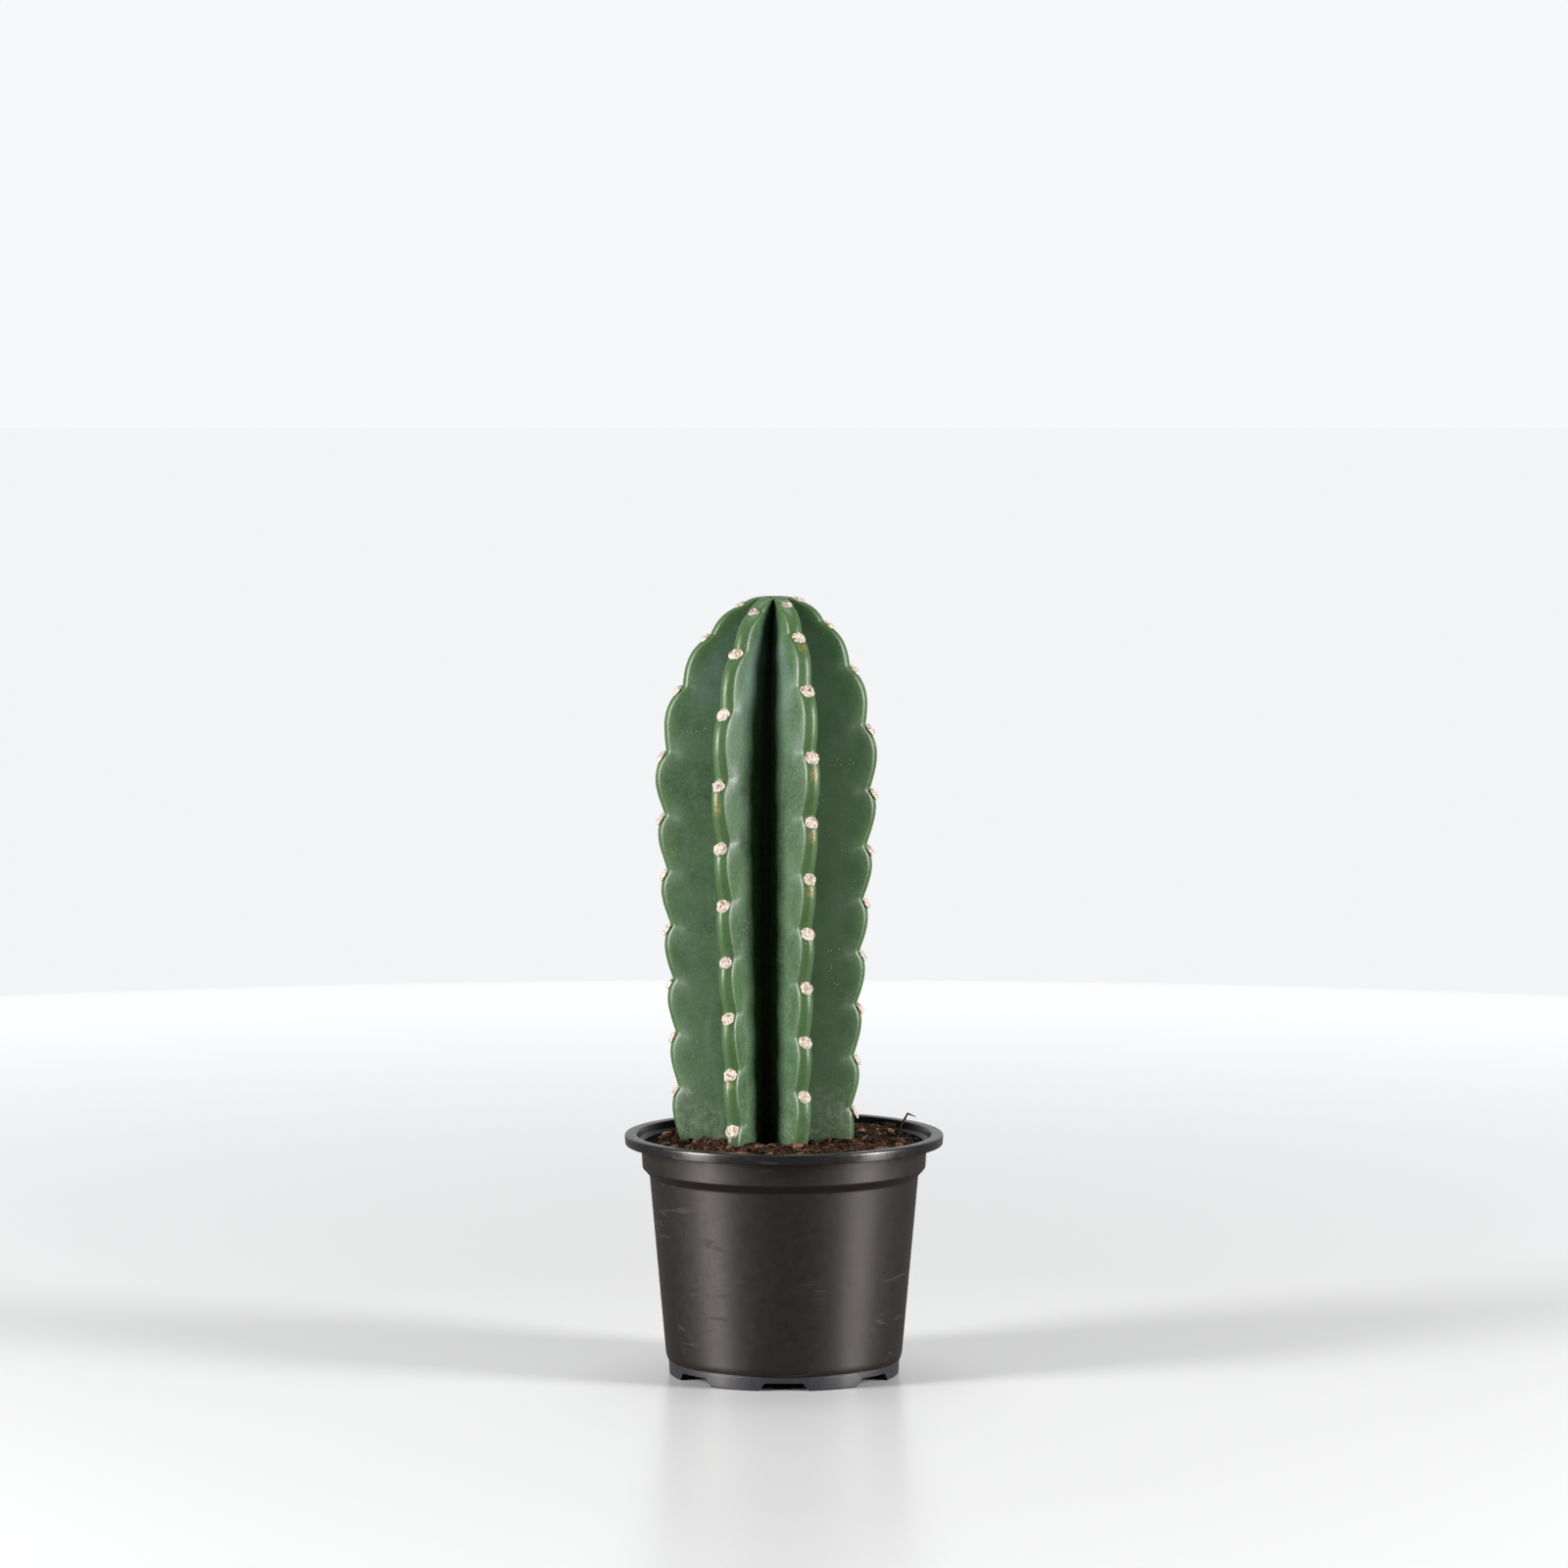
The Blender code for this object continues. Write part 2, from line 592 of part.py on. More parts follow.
def chip_places():
    """Where the coir chips lie: spread along the wall, in front of each of the stem's furrows."""
    draw = random.Random(CHIP_SEED)
    middle = stem_axis(SOIL_EDGE)
    places = []
    for furrow in range(len(RIBS)):
        for k in range(CHIPS_PER_FURROW):
            aside = (k - (CHIPS_PER_FURROW - 1) / 2) * CHIP_SPREAD + draw.uniform(-1, 1)
            inset = CHIP_LENGTH * draw.uniform(0.85, 1.35)
            place = near_wall(middle, furrow_azimuth(furrow, SOIL_EDGE) + aside, inset)
            places.append((place.x, place.y, draw.uniform(0, 180)))
    return places


def build_chip(index, place, parts, material):
    """A torn, flattish chip of coir, lying along the soil's slope just clear of it."""
    draw = random.Random(CHIP_SEED * 100 + index)
    x, y, yaw = place
    bm = bmesh.new()
    bmesh.ops.create_cube(bm, size=1.0)
    bmesh.ops.subdivide_edges(bm, edges=bm.edges, cuts=1, use_grid_fill=True)
    size = draw.uniform(0.7, 1.0)
    for vert in bm.verts:
        taper = 1 - 0.7 * abs(vert.co.x)
        vert.co.x *= CHIP_LENGTH * size * draw.uniform(0.85, 1.1)
        vert.co.y *= CHIP_WIDTH * size * taper * draw.uniform(0.8, 1.15)
        vert.co.z *= CHIP_THICKNESS * size * taper * draw.uniform(0.8, 1.2)
    step = CHIP_LENGTH / 2
    slope_x = (soil_height(x + step, y) - soil_height(x - step, y)) / (2 * step)
    slope_y = (soil_height(x, y + step) - soil_height(x, y - step)) / (2 * step)
    lie = Vector((-slope_x, -slope_y, 1.0)).to_track_quat("Z", "Y").to_matrix().to_4x4()
    turn = lie @ Matrix.Rotation(math.radians(yaw), 4, "Z")
    bmesh.ops.transform(bm, matrix=turn, verts=bm.verts)
    lift = max(soil_height(x + vert.co.x, y + vert.co.y) - vert.co.z for vert in bm.verts)
    bmesh.ops.recalc_face_normals(bm, faces=bm.faces)
    chip = new_object(f"coir_chip_{index + 1:02d}", mesh_from(bm, "coir_chip"), parts, material)
    chip.location = (x, y, lift + CHIP_GAP)


def build_chips(parts):
    coir = make_material("coir", (0.16, 0.07, 0.032), 0.85)
    for index, place in enumerate(chip_places()):
        build_chip(index, place, parts, coir)


def main():
    for obj in list(bpy.data.objects):
        bpy.data.objects.remove(obj)
    parts = new_collection("potted_cactus")
    cutters = new_collection("cutters")
    build_pot(parts, cutters)
    build_stem(parts)
    build_soil(parts, cutters)
    build_twig(parts)
    build_chips(parts)


main()
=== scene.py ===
"""The looks of a potted cactus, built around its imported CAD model. Metres, +Z up, -Y is the front."""

import bisect
import math
import random

import bmesh
import bpy
import numpy as np
from mathutils import Matrix, Vector, noise


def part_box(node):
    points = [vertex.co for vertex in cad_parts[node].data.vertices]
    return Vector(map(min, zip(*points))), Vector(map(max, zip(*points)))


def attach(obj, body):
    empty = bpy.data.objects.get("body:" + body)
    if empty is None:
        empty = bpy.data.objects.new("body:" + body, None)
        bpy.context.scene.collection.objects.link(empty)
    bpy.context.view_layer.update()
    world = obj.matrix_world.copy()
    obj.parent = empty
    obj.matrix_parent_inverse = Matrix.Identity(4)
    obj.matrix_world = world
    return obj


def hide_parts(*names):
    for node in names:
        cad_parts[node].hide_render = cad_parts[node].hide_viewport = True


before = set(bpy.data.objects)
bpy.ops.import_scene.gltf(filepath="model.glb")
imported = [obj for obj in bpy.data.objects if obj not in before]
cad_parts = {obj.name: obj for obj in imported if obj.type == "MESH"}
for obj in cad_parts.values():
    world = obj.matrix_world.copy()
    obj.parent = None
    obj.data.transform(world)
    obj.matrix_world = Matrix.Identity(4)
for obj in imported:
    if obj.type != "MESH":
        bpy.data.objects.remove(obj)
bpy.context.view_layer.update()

MM = 0.001

# ---------------------------------------------------------------- places taken from the frame
_, POT_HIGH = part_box("nursery_pot")
_, SOIL_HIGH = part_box("potting_soil")
STEM_LOW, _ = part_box("cactus_stem")
RIM_RADIUS = POT_HIGH.x
POT_HEIGHT = POT_HIGH.z
SOIL_RADIUS = SOIL_HIGH.x
SOIL_BELOW_RIM = 5.9 * MM
SOIL_EDGE = POT_HEIGHT - SOIL_BELOW_RIM

# ---------------------------------------------------------------- the stem's growth, as in the CAD model
STEM_HEIGHT = 276.6 * MM
STEM_TIP = SOIL_EDGE + STEM_HEIGHT
SHOULDER = STEM_TIP - 96.5 * MM
SHOULDER_RADIUS = 55.8 * MM
SOIL_LINE_RADIUS = 46.3 * MM
COLUMN_SWELL = 1.3
BURIED_DEPTH = SOIL_EDGE - STEM_LOW.z
STEM_SIDE_OFFSET = -9.6 * MM
STEM_BACK_OFFSET = 6.0 * MM
STEM_LEAN = 4.8 * MM
STEM_LEAN_LATENESS = 4.5
APEX_DIMPLE = 2.6 * MM
APEX_DIMPLE_RADIUS = 5.0 * MM
CREST_HALF_WIDTH = 4.15 * MM
CREST_TIP_LENGTH = 4.0 * MM
CREST_ROOM = 0.5
CREST_FLATNESS = 0.85
CREST_LEAST_TURN = 20.0
FLANK_SWELL = 4.0
FLANK_BEND = 0.42
FLANK_FALL = 0.4
NOTCH_WIDENING = 0.06
NOTCH_FLANK_SHARE = 0.45
FURROW_SHARE = 0.41
FURROW_DROP = 12.0 * MM
FURROW_DROP_LENGTH = 30.0 * MM
PITCH_OLD_GROWTH = 27.5 * MM
PITCH_GAIN = 7.0 * MM
PITCH_GAIN_AT = 80.0 * MM
PITCH_GAIN_SPREAD = 40.0 * MM
PITCH_TIP_LOSS = 15.0 * MM
PITCH_TIP_LENGTH = 15.0 * MM
NOTCH_SHARE = 0.13
NOTCH_ABOVE_AREOLE = 0.06
NOTCH_TIP_FADE = 16.0 * MM
TUBERCLE_PEAK = 0.38
AREOLES_PER_RIB = 11
# Foot azimuth, tip azimuth, reach, first areole's distance from the tip, areole spacing.
RIBS = (
    (-22.5, -31.0, 0.95, 24.0 * MM, 1.03),
    (28.0, 27.0, 0.95, 17.4 * MM, 0.995),
    (94.0, 87.0, 1.01, 13.2 * MM, 0.965),
    (151.0, 149.0, 0.98, 19.5 * MM, 1.01),
    (209.0, 211.0, 0.97, 14.5 * MM, 0.98),
    (266.0, 273.0, 1.0, 19.0 * MM, 0.995),
)
TIP_ROWS = 26
PERIOD_ROWS = 26
BUTT_ROWS = 22
CAP_POINTS = 8
FLANK_POINTS = 10
HALF_RIB = CAP_POINTS + FLANK_POINTS

# Flanks with painted shade, darkened as if the lamps reached them less: rib and side (1 to the right of its
# crest, seen from outside), strength.
PAINTED_SHADE_FLANKS = {(2, -1): 0.85, (5, 1): 0.4}

AREOLE_RADIUS = 3.4 * MM
PAD_RISE = 0.58
PAD_SINK = 0.7 * MM
PAD_LENGTHENING = 1.08
PAD_RINGS = 9
PAD_STEPS = 26
AREOLE_HAIRS = 34
TIP_HAIRS = 90
TIP_WOOL_FORWARD = 2.2 * MM
TIP_WOOL_RADIUS = 3.2 * MM

# ---------------------------------------------------------------- pot
POT_STEPS = 224
FOOT_NOTCHES = 7
FOOT_NOTCH_TOP = 19.0 * MM
FOOT_NOTCH_FOOT = 26.5 * MM
FOOT_NOTCH_HEIGHT = 4.1 * MM
FOOT_NOTCH_DEPTH = 9 * MM
FOOT_RADIUS = 57 * MM
DRAIN_CIRCLE_RADIUS = 48.6 * MM
DRAIN_RADIUS = 4 * MM
MIDDLE_DRAIN_RADIUS = 6 * MM
FLOOR_MIDDLE = 6.2 * MM
DRAIN_CUT_DEPTH = 6 * MM
FOOT_TOP = 7.0 * MM
LIP_DEPTH = 5.5 * MM
LIP_INNER_RADIUS = 71 * MM

# ---------------------------------------------------------------- soil
SOIL_RINGS = 110
SOIL_STEPS = 400
SOIL_CROWN = 1.8 * MM
ROOT_BALL_FOOT = 7.3 * MM
# The root ball's side, just inside the pot's wall: radius, height.
ROOT_BALL_SIDE = (
    (SOIL_RADIUS, 106.5 * MM),
    (66.0 * MM, 102.0 * MM),
    (57.9 * MM, 10.3 * MM),
    (56.5 * MM, ROOT_BALL_FOOT),
)
# Heaps and hollows on the soil: middle, spread, height.
SOIL_HEAPS = (
    ((-5.0 * MM, -44.0 * MM), (34.0 * MM, 16.0 * MM), 3.4 * MM),
    ((47.0 * MM, 42.0 * MM), (20.0 * MM, 20.0 * MM), 3.6 * MM),
    ((-40.0 * MM, -35.0 * MM), (10.0 * MM, 9.0 * MM), 6.5 * MM),
    ((-46.0 * MM, 38.0 * MM), (24.0 * MM, 20.0 * MM), 1.2 * MM),
    ((-60.0 * MM, -14.0 * MM), (12.0 * MM, 16.0 * MM), -0.8 * MM),
)

# ---------------------------------------------------------------- studio
CAMERA_DISTANCE = 3.34
CAMERA_ELEVATION = 5.0
CAMERA_TARGET = Vector((0, 0, 0.2975))
FRAME_WIDTH = 0.785
SENSOR_WIDTH = 36.0
FLOOR_SIZE = 14.0
LIGHT_TARGET = Vector((0, 0, 0.22))
FRONT_FILL = 0.010
BACK_FILL = 0.75
SIDE_POWER = 104.0
TOP_POWER = 18.0


# ---------------------------------------------------------------- helpers
def link(obj):
    bpy.context.scene.collection.objects.link(obj)
    return obj


def mesh_object(name, verts, faces, material):
    mesh = bpy.data.meshes.new(name)
    mesh.from_pydata([tuple(v) for v in verts], [], faces)
    mesh.update()
    mesh.shade_smooth()
    mesh.materials.append(material)
    return link(bpy.data.objects.new(name, mesh))


def point_attribute(obj, name, values):
    layer = obj.data.attributes.new(name, "FLOAT", "POINT")
    layer.data.foreach_set("value", np.asarray(values, np.float32))


def finish_piece(obj, slot, *nodes):
    """Puts a piece on the object's one body, in place of the CAD nodes named; the slot given is not used.
    """
    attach(obj, "root")
    if nodes:
        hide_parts(*nodes)
    return obj


def weld(bm, mesh):
    """Writes bm to mesh with its faces turned outwards, and frees it."""
    bmesh.ops.recalc_face_normals(bm, faces=bm.faces)
    bm.to_mesh(mesh)
    bm.free()


def smooth_step(low, high, value):
    share = np.clip((value - low) / (high - low), 0, 1)
    return share * share * (3 - 2 * share)


class Graph:
    """A material's node tree, written as nested calls."""

    def __init__(self, name):
        self.material = bpy.data.materials.new(name)
        self.material.use_nodes = True
        self.tree = self.material.node_tree
        self.shader = self.tree.nodes["Principled BSDF"]
        self.coordinates = self.tree.nodes.new("ShaderNodeTexCoord").outputs["Object"]

    def put(self, socket, value):
        if isinstance(value, bpy.types.NodeSocket):
            self.tree.links.new(value, socket)
        elif isinstance(value, tuple) and len(value) == 3 and socket.type == "RGBA":
            socket.default_value = (*value, 1.0)
        else:
            socket.default_value = value

    def set(self, **values):
        for name, value in values.items():
            self.put(self.shader.inputs[name.replace("_", " ")], value)

    def add(self, kind, output, **inputs):
        node = self.tree.nodes.new(kind)
        for name, value in inputs.items():
            self.put(node.inputs[name.replace("_", " ")], value)
        return node.outputs[output]

    def attribute(self, name):
        node = self.tree.nodes.new("ShaderNodeAttribute")
        node.attribute_name = name
        return node.outputs["Fac"]

    def stretched(self, x, y, z):
        return self.add("ShaderNodeMapping", "Vector", Vector=self.coordinates, Scale=(x, y, z))

    def noise(self, scale, detail=3.0, roughness=0.55, vector=None, distortion=0.0):
        return self.add(
            "ShaderNodeTexNoise",
            "Fac",
            Vector=vector or self.coordinates,
            Scale=scale,
            Detail=detail,
            Roughness=roughness,
            Distortion=distortion,
        )

    def reach(self):
        """The distance from the object's own origin."""
        node = self.tree.nodes.new("ShaderNodeVectorMath")
        node.operation = "LENGTH"
        self.put(node.inputs[0], self.coordinates)
        return node.outputs["Value"]

    def cells(self, scale):
        return self.add("ShaderNodeTexVoronoi", "Distance", Vector=self.coordinates, Scale=scale)

    def fit(self, value, low, high, to_low=0.0, to_high=1.0):
        ends = {"From_Min": low, "From_Max": high, "To_Min": to_low, "To_Max": to_high}
        return self.add("ShaderNodeMapRange", "Result", Value=value, **ends)

    def math(self, operation, a, b=0.0):
        node = self.tree.nodes.new("ShaderNodeMath")
        node.operation = operation
        self.put(node.inputs[0], a)
        self.put(node.inputs[1], b)
        return node.outputs["Value"]

    def times(self, a, b):
        return self.math("MULTIPLY", a, b)

    def plus(self, a, b):
        return self.math("ADD", a, b)

    def mix(self, factor, a, b):
        node = self.tree.nodes.new("ShaderNodeMix")
        node.data_type = "RGBA"
        self.put(node.inputs["Factor"], factor)
        self.put(node.inputs[6], a)
        self.put(node.inputs[7], b)
        return node.outputs[2]

    def bump(self, height, strength, distance, normal=None):
        inputs = {"Height": height, "Strength": strength, "Distance": distance}
        if normal:
            inputs["Normal"] = normal
        return self.add("ShaderNodeBump", "Normal", **inputs)


# ---------------------------------------------------------------- materials
def skin_material():
    g = Graph("cactus_skin")
    crest = g.attribute("crest")
    flank = g.attribute("flank")
    young = g.attribute("young")
    broad = g.noise(55, 4)
    mottle = g.noise(520, 5, 0.75)
    colour = g.mix(g.fit(broad, 0.36, 0.64), (0.019, 0.057, 0.017), (0.048, 0.112, 0.037))
    colour = g.mix(g.fit(mottle, 0.44, 0.62, 0.0, 0.62), colour, (0.082, 0.148, 0.070))
    colour = g.mix(g.fit(g.noise(1300, 2, 0.6), 0.52, 0.36, 0.0, 0.45), colour, (0.015, 0.044, 0.013))
    bloom = g.times(flank, g.fit(g.noise(90, 4, 0.6), 0.42, 0.66))
    colour = g.mix(g.times(bloom, 0.16), colour, (0.105, 0.165, 0.12))
    blue = g.times(g.times(flank, young), g.fit(g.noise(70, 3), 0.3, 0.6))
    colour = g.mix(g.times(blue, 0.8), colour, (0.11, 0.17, 0.155))
    streak = g.fit(g.noise(200, 3, 0.6, g.stretched(1.0, 1.0, 0.12)), 0.58, 0.72)
    colour = g.mix(g.times(g.times(streak, flank), 0.35), colour, (0.12, 0.175, 0.13))
    # Painted shade: the front-facing flanks of two side ribs are darkened as if turned away from the lamps.
    colour = g.mix(g.attribute("shade"), colour, (0.020, 0.049, 0.015))
    # Painted shade: the deep furrows are darkened towards near black, as where the light hardly reaches.
    colour = g.mix(g.times(g.attribute("furrow"), 0.85), colour, (0.010, 0.028, 0.009))
    colour = g.mix(g.times(crest, 0.5), colour, (0.078, 0.140, 0.048))
    specks = g.fit(g.cells(480), 0.17, 0.09)
    rare = g.math("MAXIMUM", g.fit(g.noise(60, 3), 0.52, 0.64), g.times(g.attribute("dust"), 0.8))
    colour = g.mix(g.times(g.times(specks, rare), 0.6), colour, (0.30, 0.36, 0.27))
    dust = g.times(g.attribute("dust"), g.fit(g.noise(500, 4, 0.75), 0.54, 0.64))
    colour = g.mix(g.times(dust, 0.6), colour, (0.10, 0.06, 0.035))
    chalk = g.times(g.attribute("dust"), g.fit(g.noise(260, 5, 0.75), 0.47, 0.66))
    colour = g.mix(g.times(chalk, 0.5), colour, (0.15, 0.20, 0.14))
    scar = g.times(g.attribute("scar"), g.fit(g.noise(900, 3, 0.7), 0.44, 0.54))
    colour = g.mix(scar, colour, (0.30, 0.20, 0.055))
    rough = g.fit(g.noise(150, 3), 0.3, 0.7, 0.33, 0.44)
    dull = g.plus(g.plus(bloom, g.attribute("furrow")), flank)
    fine = g.bump(g.noise(1500, 2), 0.10, 0.0003)
    g.set(
        Base_Color=colour,
        Roughness=g.plus(rough, g.times(dull, 0.12)),
        Normal=g.bump(g.cells(900), 0.06, 0.0004, fine),
        Specular_IOR_Level=0.42,
        Subsurface_Weight=0.06,
        Subsurface_Radius=(0.0012, 0.0025, 0.0006),
        Subsurface_Scale=1.0,
    )
    return g.material


def wool_material():
    g = Graph("areole_wool")
    tint = g.attribute("tint")
    colour = g.mix(g.fit(g.noise(900, 3, 0.7), 0.38, 0.6), (0.36, 0.27, 0.21), (0.80, 0.72, 0.62))
    colour = g.mix(g.fit(tint, 0.55, 1.0, 0.0, 0.95), colour, (0.17, 0.085, 0.045))
    fine = g.bump(g.noise(3500, 3, 0.7), 0.5, 0.0003)
    g.set(Base_Color=colour, Roughness=0.92, Normal=fine, Specular_IOR_Level=0.2, Sheen_Weight=0.3)
    return g.material


def plastic_material():
    g = Graph("pot_plastic")
    foot = g.attribute("foot")
    lip = g.attribute("lip")
    flow = g.noise(14, 3, 0.5, g.stretched(1.0, 1.0, 0.35))
    colour = g.mix(g.fit(flow, 0.3, 0.7), (0.0050, 0.0042, 0.0041), (0.0080, 0.0064, 0.0060))
    colour = g.mix(foot, colour, (0.020, 0.022, 0.027))
    colour = g.mix(g.times(lip, 0.8), colour, (0.009, 0.010, 0.012))
    scratch_noise = g.noise(120, 2, 0.4, g.stretched(0.25, 0.25, 1.6), 1.2)
    scratch = g.times(g.fit(scratch_noise, 0.638, 0.655), g.fit(g.noise(30, 2), 0.52, 0.6))
    scuff = g.times(g.fit(g.noise(60, 4, 0.7), 0.62, 0.75), 0.5)
    colour = g.mix(g.times(g.plus(scratch, scuff), 0.10), colour, (0.11, 0.10, 0.095))
    rough = g.fit(g.noise(200, 4, 0.6), 0.3, 0.7, 0.43, 0.52)
    rough = g.plus(rough, g.times(scratch, 0.15))
    rough = g.math("SUBTRACT", rough, g.times(lip, 0.18))
    grain = g.bump(g.noise(2600, 2), 0.07, 0.0002)
    waves = g.bump(g.noise(28, 2, 0.4, g.stretched(1.0, 1.0, 0.2)), 0.10, 0.0012, grain)
    g.set(
        Base_Color=colour,
        Roughness=rough,
        Normal=g.bump(scratch_noise, 0.05, 0.0003, waves),
        Specular_IOR_Level=0.62,
        # Painted reflection: the warm specular tint stands in for the warm light a wooden table would
        # reflect into the plastic.
        Specular_Tint=(1.0, 0.93, 0.90),
    )
    return g.material


def soil_material():
    g = Graph("potting_mix")
    colour = g.mix(g.fit(g.noise(260, 5, 0.7), 0.35, 0.65), (0.008, 0.004, 0.0025), (0.045, 0.020, 0.011))
    colour = g.mix(g.fit(g.noise(900, 3, 0.7), 0.58, 0.72), colour, (0.13, 0.065, 0.038))
    g.set(
        Base_Color=colour,
        Roughness=0.95,
        Normal=g.bump(g.noise(1100, 4, 0.75), 0.9, 0.0012),
        Specular_IOR_Level=0.15,
    )
    return g.material


def crumb_material(name, dark, middle, light):
    g = Graph(name)
    tint = g.attribute("tint")
    colour = g.mix(g.fit(tint, 0.0, 0.6), dark, middle)
    colour = g.mix(g.fit(tint, 0.6, 1.0), colour, light)
    colour = g.mix(g.fit(g.noise(1500, 4, 0.75), 0.45, 0.65, 0.0, 0.5), colour, (0.012, 0.006, 0.004))
    g.set(
        Base_Color=colour,
        Roughness=0.9,
        Normal=g.bump(g.noise(2200, 3, 0.7), 0.6, 0.0005),
        Specular_IOR_Level=0.2,
    )
    return g.material


def coir_material():
    g = Graph("coir_chip")
    grain = g.noise(500, 4, 0.7, g.stretched(0.25, 1.0, 1.0))
    colour = g.mix(g.fit(grain, 0.35, 0.65), (0.055, 0.022, 0.011), (0.24, 0.115, 0.06))
    colour = g.mix(g.fit(g.noise(160, 2), 0.5, 0.7), colour, (0.34, 0.19, 0.115))
    g.set(Base_Color=colour, Roughness=0.85, Normal=g.bump(grain, 0.7, 0.0006), Specular_IOR_Level=0.25)
    return g.material


def bark_material():
    g = Graph("dry_bark")
    grain = g.noise(700, 4, 0.7, g.stretched(1.0, 1.0, 0.2))
    colour = g.mix(g.fit(grain, 0.35, 0.65), (0.010, 0.005, 0.003), (0.042, 0.020, 0.011))
    g.set(Base_Color=colour, Roughness=0.8, Normal=g.bump(grain, 0.6, 0.0004), Specular_IOR_Level=0.3)
    return g.material


# ---------------------------------------------------------------- cactus stem
def direction(azimuth):
    angle = math.radians(azimuth)
    return Vector((math.sin(angle), -math.cos(angle), 0.0))


def crest_line(steps=200):
    """(distance, radius, height) down an even crest, from the tip over the dome to the butt."""
    points = []
    for i in range(steps + 1):
        turn = math.pi / 2 * i / steps
        points.append((SHOULDER_RADIUS * math.sin(turn), SHOULDER + (STEM_TIP - SHOULDER) * math.cos(turn)))
    for i in range(1, steps + 1):
        share = 1 - i / steps
        swell = (SHOULDER_RADIUS - SOIL_LINE_RADIUS) * share**COLUMN_SWELL
        points.append((SOIL_LINE_RADIUS + swell, SOIL_EDGE + (SHOULDER - SOIL_EDGE) * share))
    for i in range(1, steps + 1):
        turn = math.pi / 2 * i / steps
        points.append((SOIL_LINE_RADIUS * math.cos(turn), SOIL_EDGE - BURIED_DEPTH * math.sin(turn)))
    line = [(0.0, *points[0])]
    for (r0, z0), (r1, z1) in zip(points, points[1:]):
        line.append((line[-1][0] + math.hypot(r1 - r0, z1 - z0), r1, z1))
    return line


CREST_LINE = crest_line()
CREST_LENGTH = CREST_LINE[-1][0]


def crest_at(distance):
    at = bisect.bisect_left(CREST_LINE, (distance,))
    at = min(max(at, 1), len(CREST_LINE) - 1)
    (s0, r0, z0), (s1, r1, z1) = CREST_LINE[at - 1], CREST_LINE[at]
    share = (distance - s0) / (s1 - s0)
    radius = r0 + (r1 - r0) * share
    height = z0 + (z1 - z0) * share
    dimple = APEX_DIMPLE * math.exp(-((radius / APEX_DIMPLE_RADIUS) ** 2))
    return radius, height - dimple if height > SHOULDER else height


def pitch_at(distance):
    gain = PITCH_GAIN * math.exp(-(((distance - PITCH_GAIN_AT) / PITCH_GAIN_SPREAD) ** 2))
    return PITCH_OLD_GROWTH + gain - PITCH_TIP_LOSS * math.exp(-distance / PITCH_TIP_LENGTH)


def areoles_of(rib):
    first, spacing = rib[3], rib[4]
    found = [first]
    while len(found) < AREOLES_PER_RIB:
        found.append(found[-1] + spacing * pitch_at(found[-1]))
    return found


AREOLES = [areoles_of(rib) for rib in RIBS]


def rows_of(areoles):
    rows = [areoles[0] * (i / TIP_ROWS) ** 1.3 for i in range(TIP_ROWS)]
    for above, below in zip(areoles, areoles[1:]):
        rows += [above + (below - above) * i / PERIOD_ROWS for i in range(PERIOD_ROWS)]
    rows += [areoles[-1] + (CREST_LENGTH - areoles[-1]) * i / BUTT_ROWS for i in range(BUTT_ROWS)]
    return rows + [CREST_LENGTH]


def notch_depth(index, distance):
    """How far a rib's crest dips below the even crest line, deepest just above each areole."""
    areoles = AREOLES[index]
    at = bisect.bisect_right(areoles, distance)
    if at == len(areoles):
        left = (CREST_LENGTH - distance) / (CREST_LENGTH - areoles[-1])
        return NOTCH_SHARE * PITCH_OLD_GROWTH * 0.5 * left
    above = areoles[at - 1] if at else areoles[0] - RIBS[index][4] * pitch_at(0.0)
    pitch = areoles[at] - above
    phase = ((distance - above) / pitch + NOTCH_ABOVE_AREOLE) % 1.0
    swell = math.sin(math.pi * phase ** (math.log(0.5) / math.log(TUBERCLE_PEAK)))
    return NOTCH_SHARE * pitch * (1 - swell) * min(1.0, distance / NOTCH_TIP_FADE)


def rib_azimuth(index, height):
    share = min(1.0, max(0.0, (height - SOIL_EDGE) / STEM_HEIGHT))
    foot, tip = RIBS[index][:2]
    return foot + (tip - foot) * share


def furrow_azimuth(index, height):
    first = rib_azimuth(index, height)
    after = rib_azimuth((index + 1) % len(RIBS), height)
    return first + ((after - first) % 360) / 2


def stem_axis(height):
    share = max(0.0, (height - SOIL_EDGE) / STEM_HEIGHT)
    return Vector((STEM_SIDE_OFFSET + STEM_LEAN * share**STEM_LEAN_LATENESS, STEM_BACK_OFFSET, 0.0))


def furrow_point(index, distance):
    radius, height = crest_at(distance)
    reach = distance / FURROW_DROP_LENGTH
    drop = FURROW_DROP * reach * math.exp(1 - reach)
    return direction(furrow_azimuth(index, height)) * radius * FURROW_SHARE + Vector((0, 0, height - drop))


def crest_frame(index, distance, notched=True):
    """The crest's radius, half width, height and level directions at a distance from the tip."""
    radius, height = crest_at(distance)
    azimuth = rib_azimuth(index, height)
    dip = notch_depth(index, distance) if notched else 0.0
    crest = max(radius * RIBS[index][2] - dip * min(1.0, 2 * radius / SOIL_LINE_RADIUS), 0.0)
    half = CREST_HALF_WIDTH * (1 - math.exp(-distance / CREST_TIP_LENGTH)) + dip * NOTCH_WIDENING
    if height < SOIL_EDGE:
        half *= radius / SOIL_LINE_RADIUS
    half = min(half, crest * CREST_ROOM)
    return crest, half, height, direction(azimuth), direction(azimuth + 90)


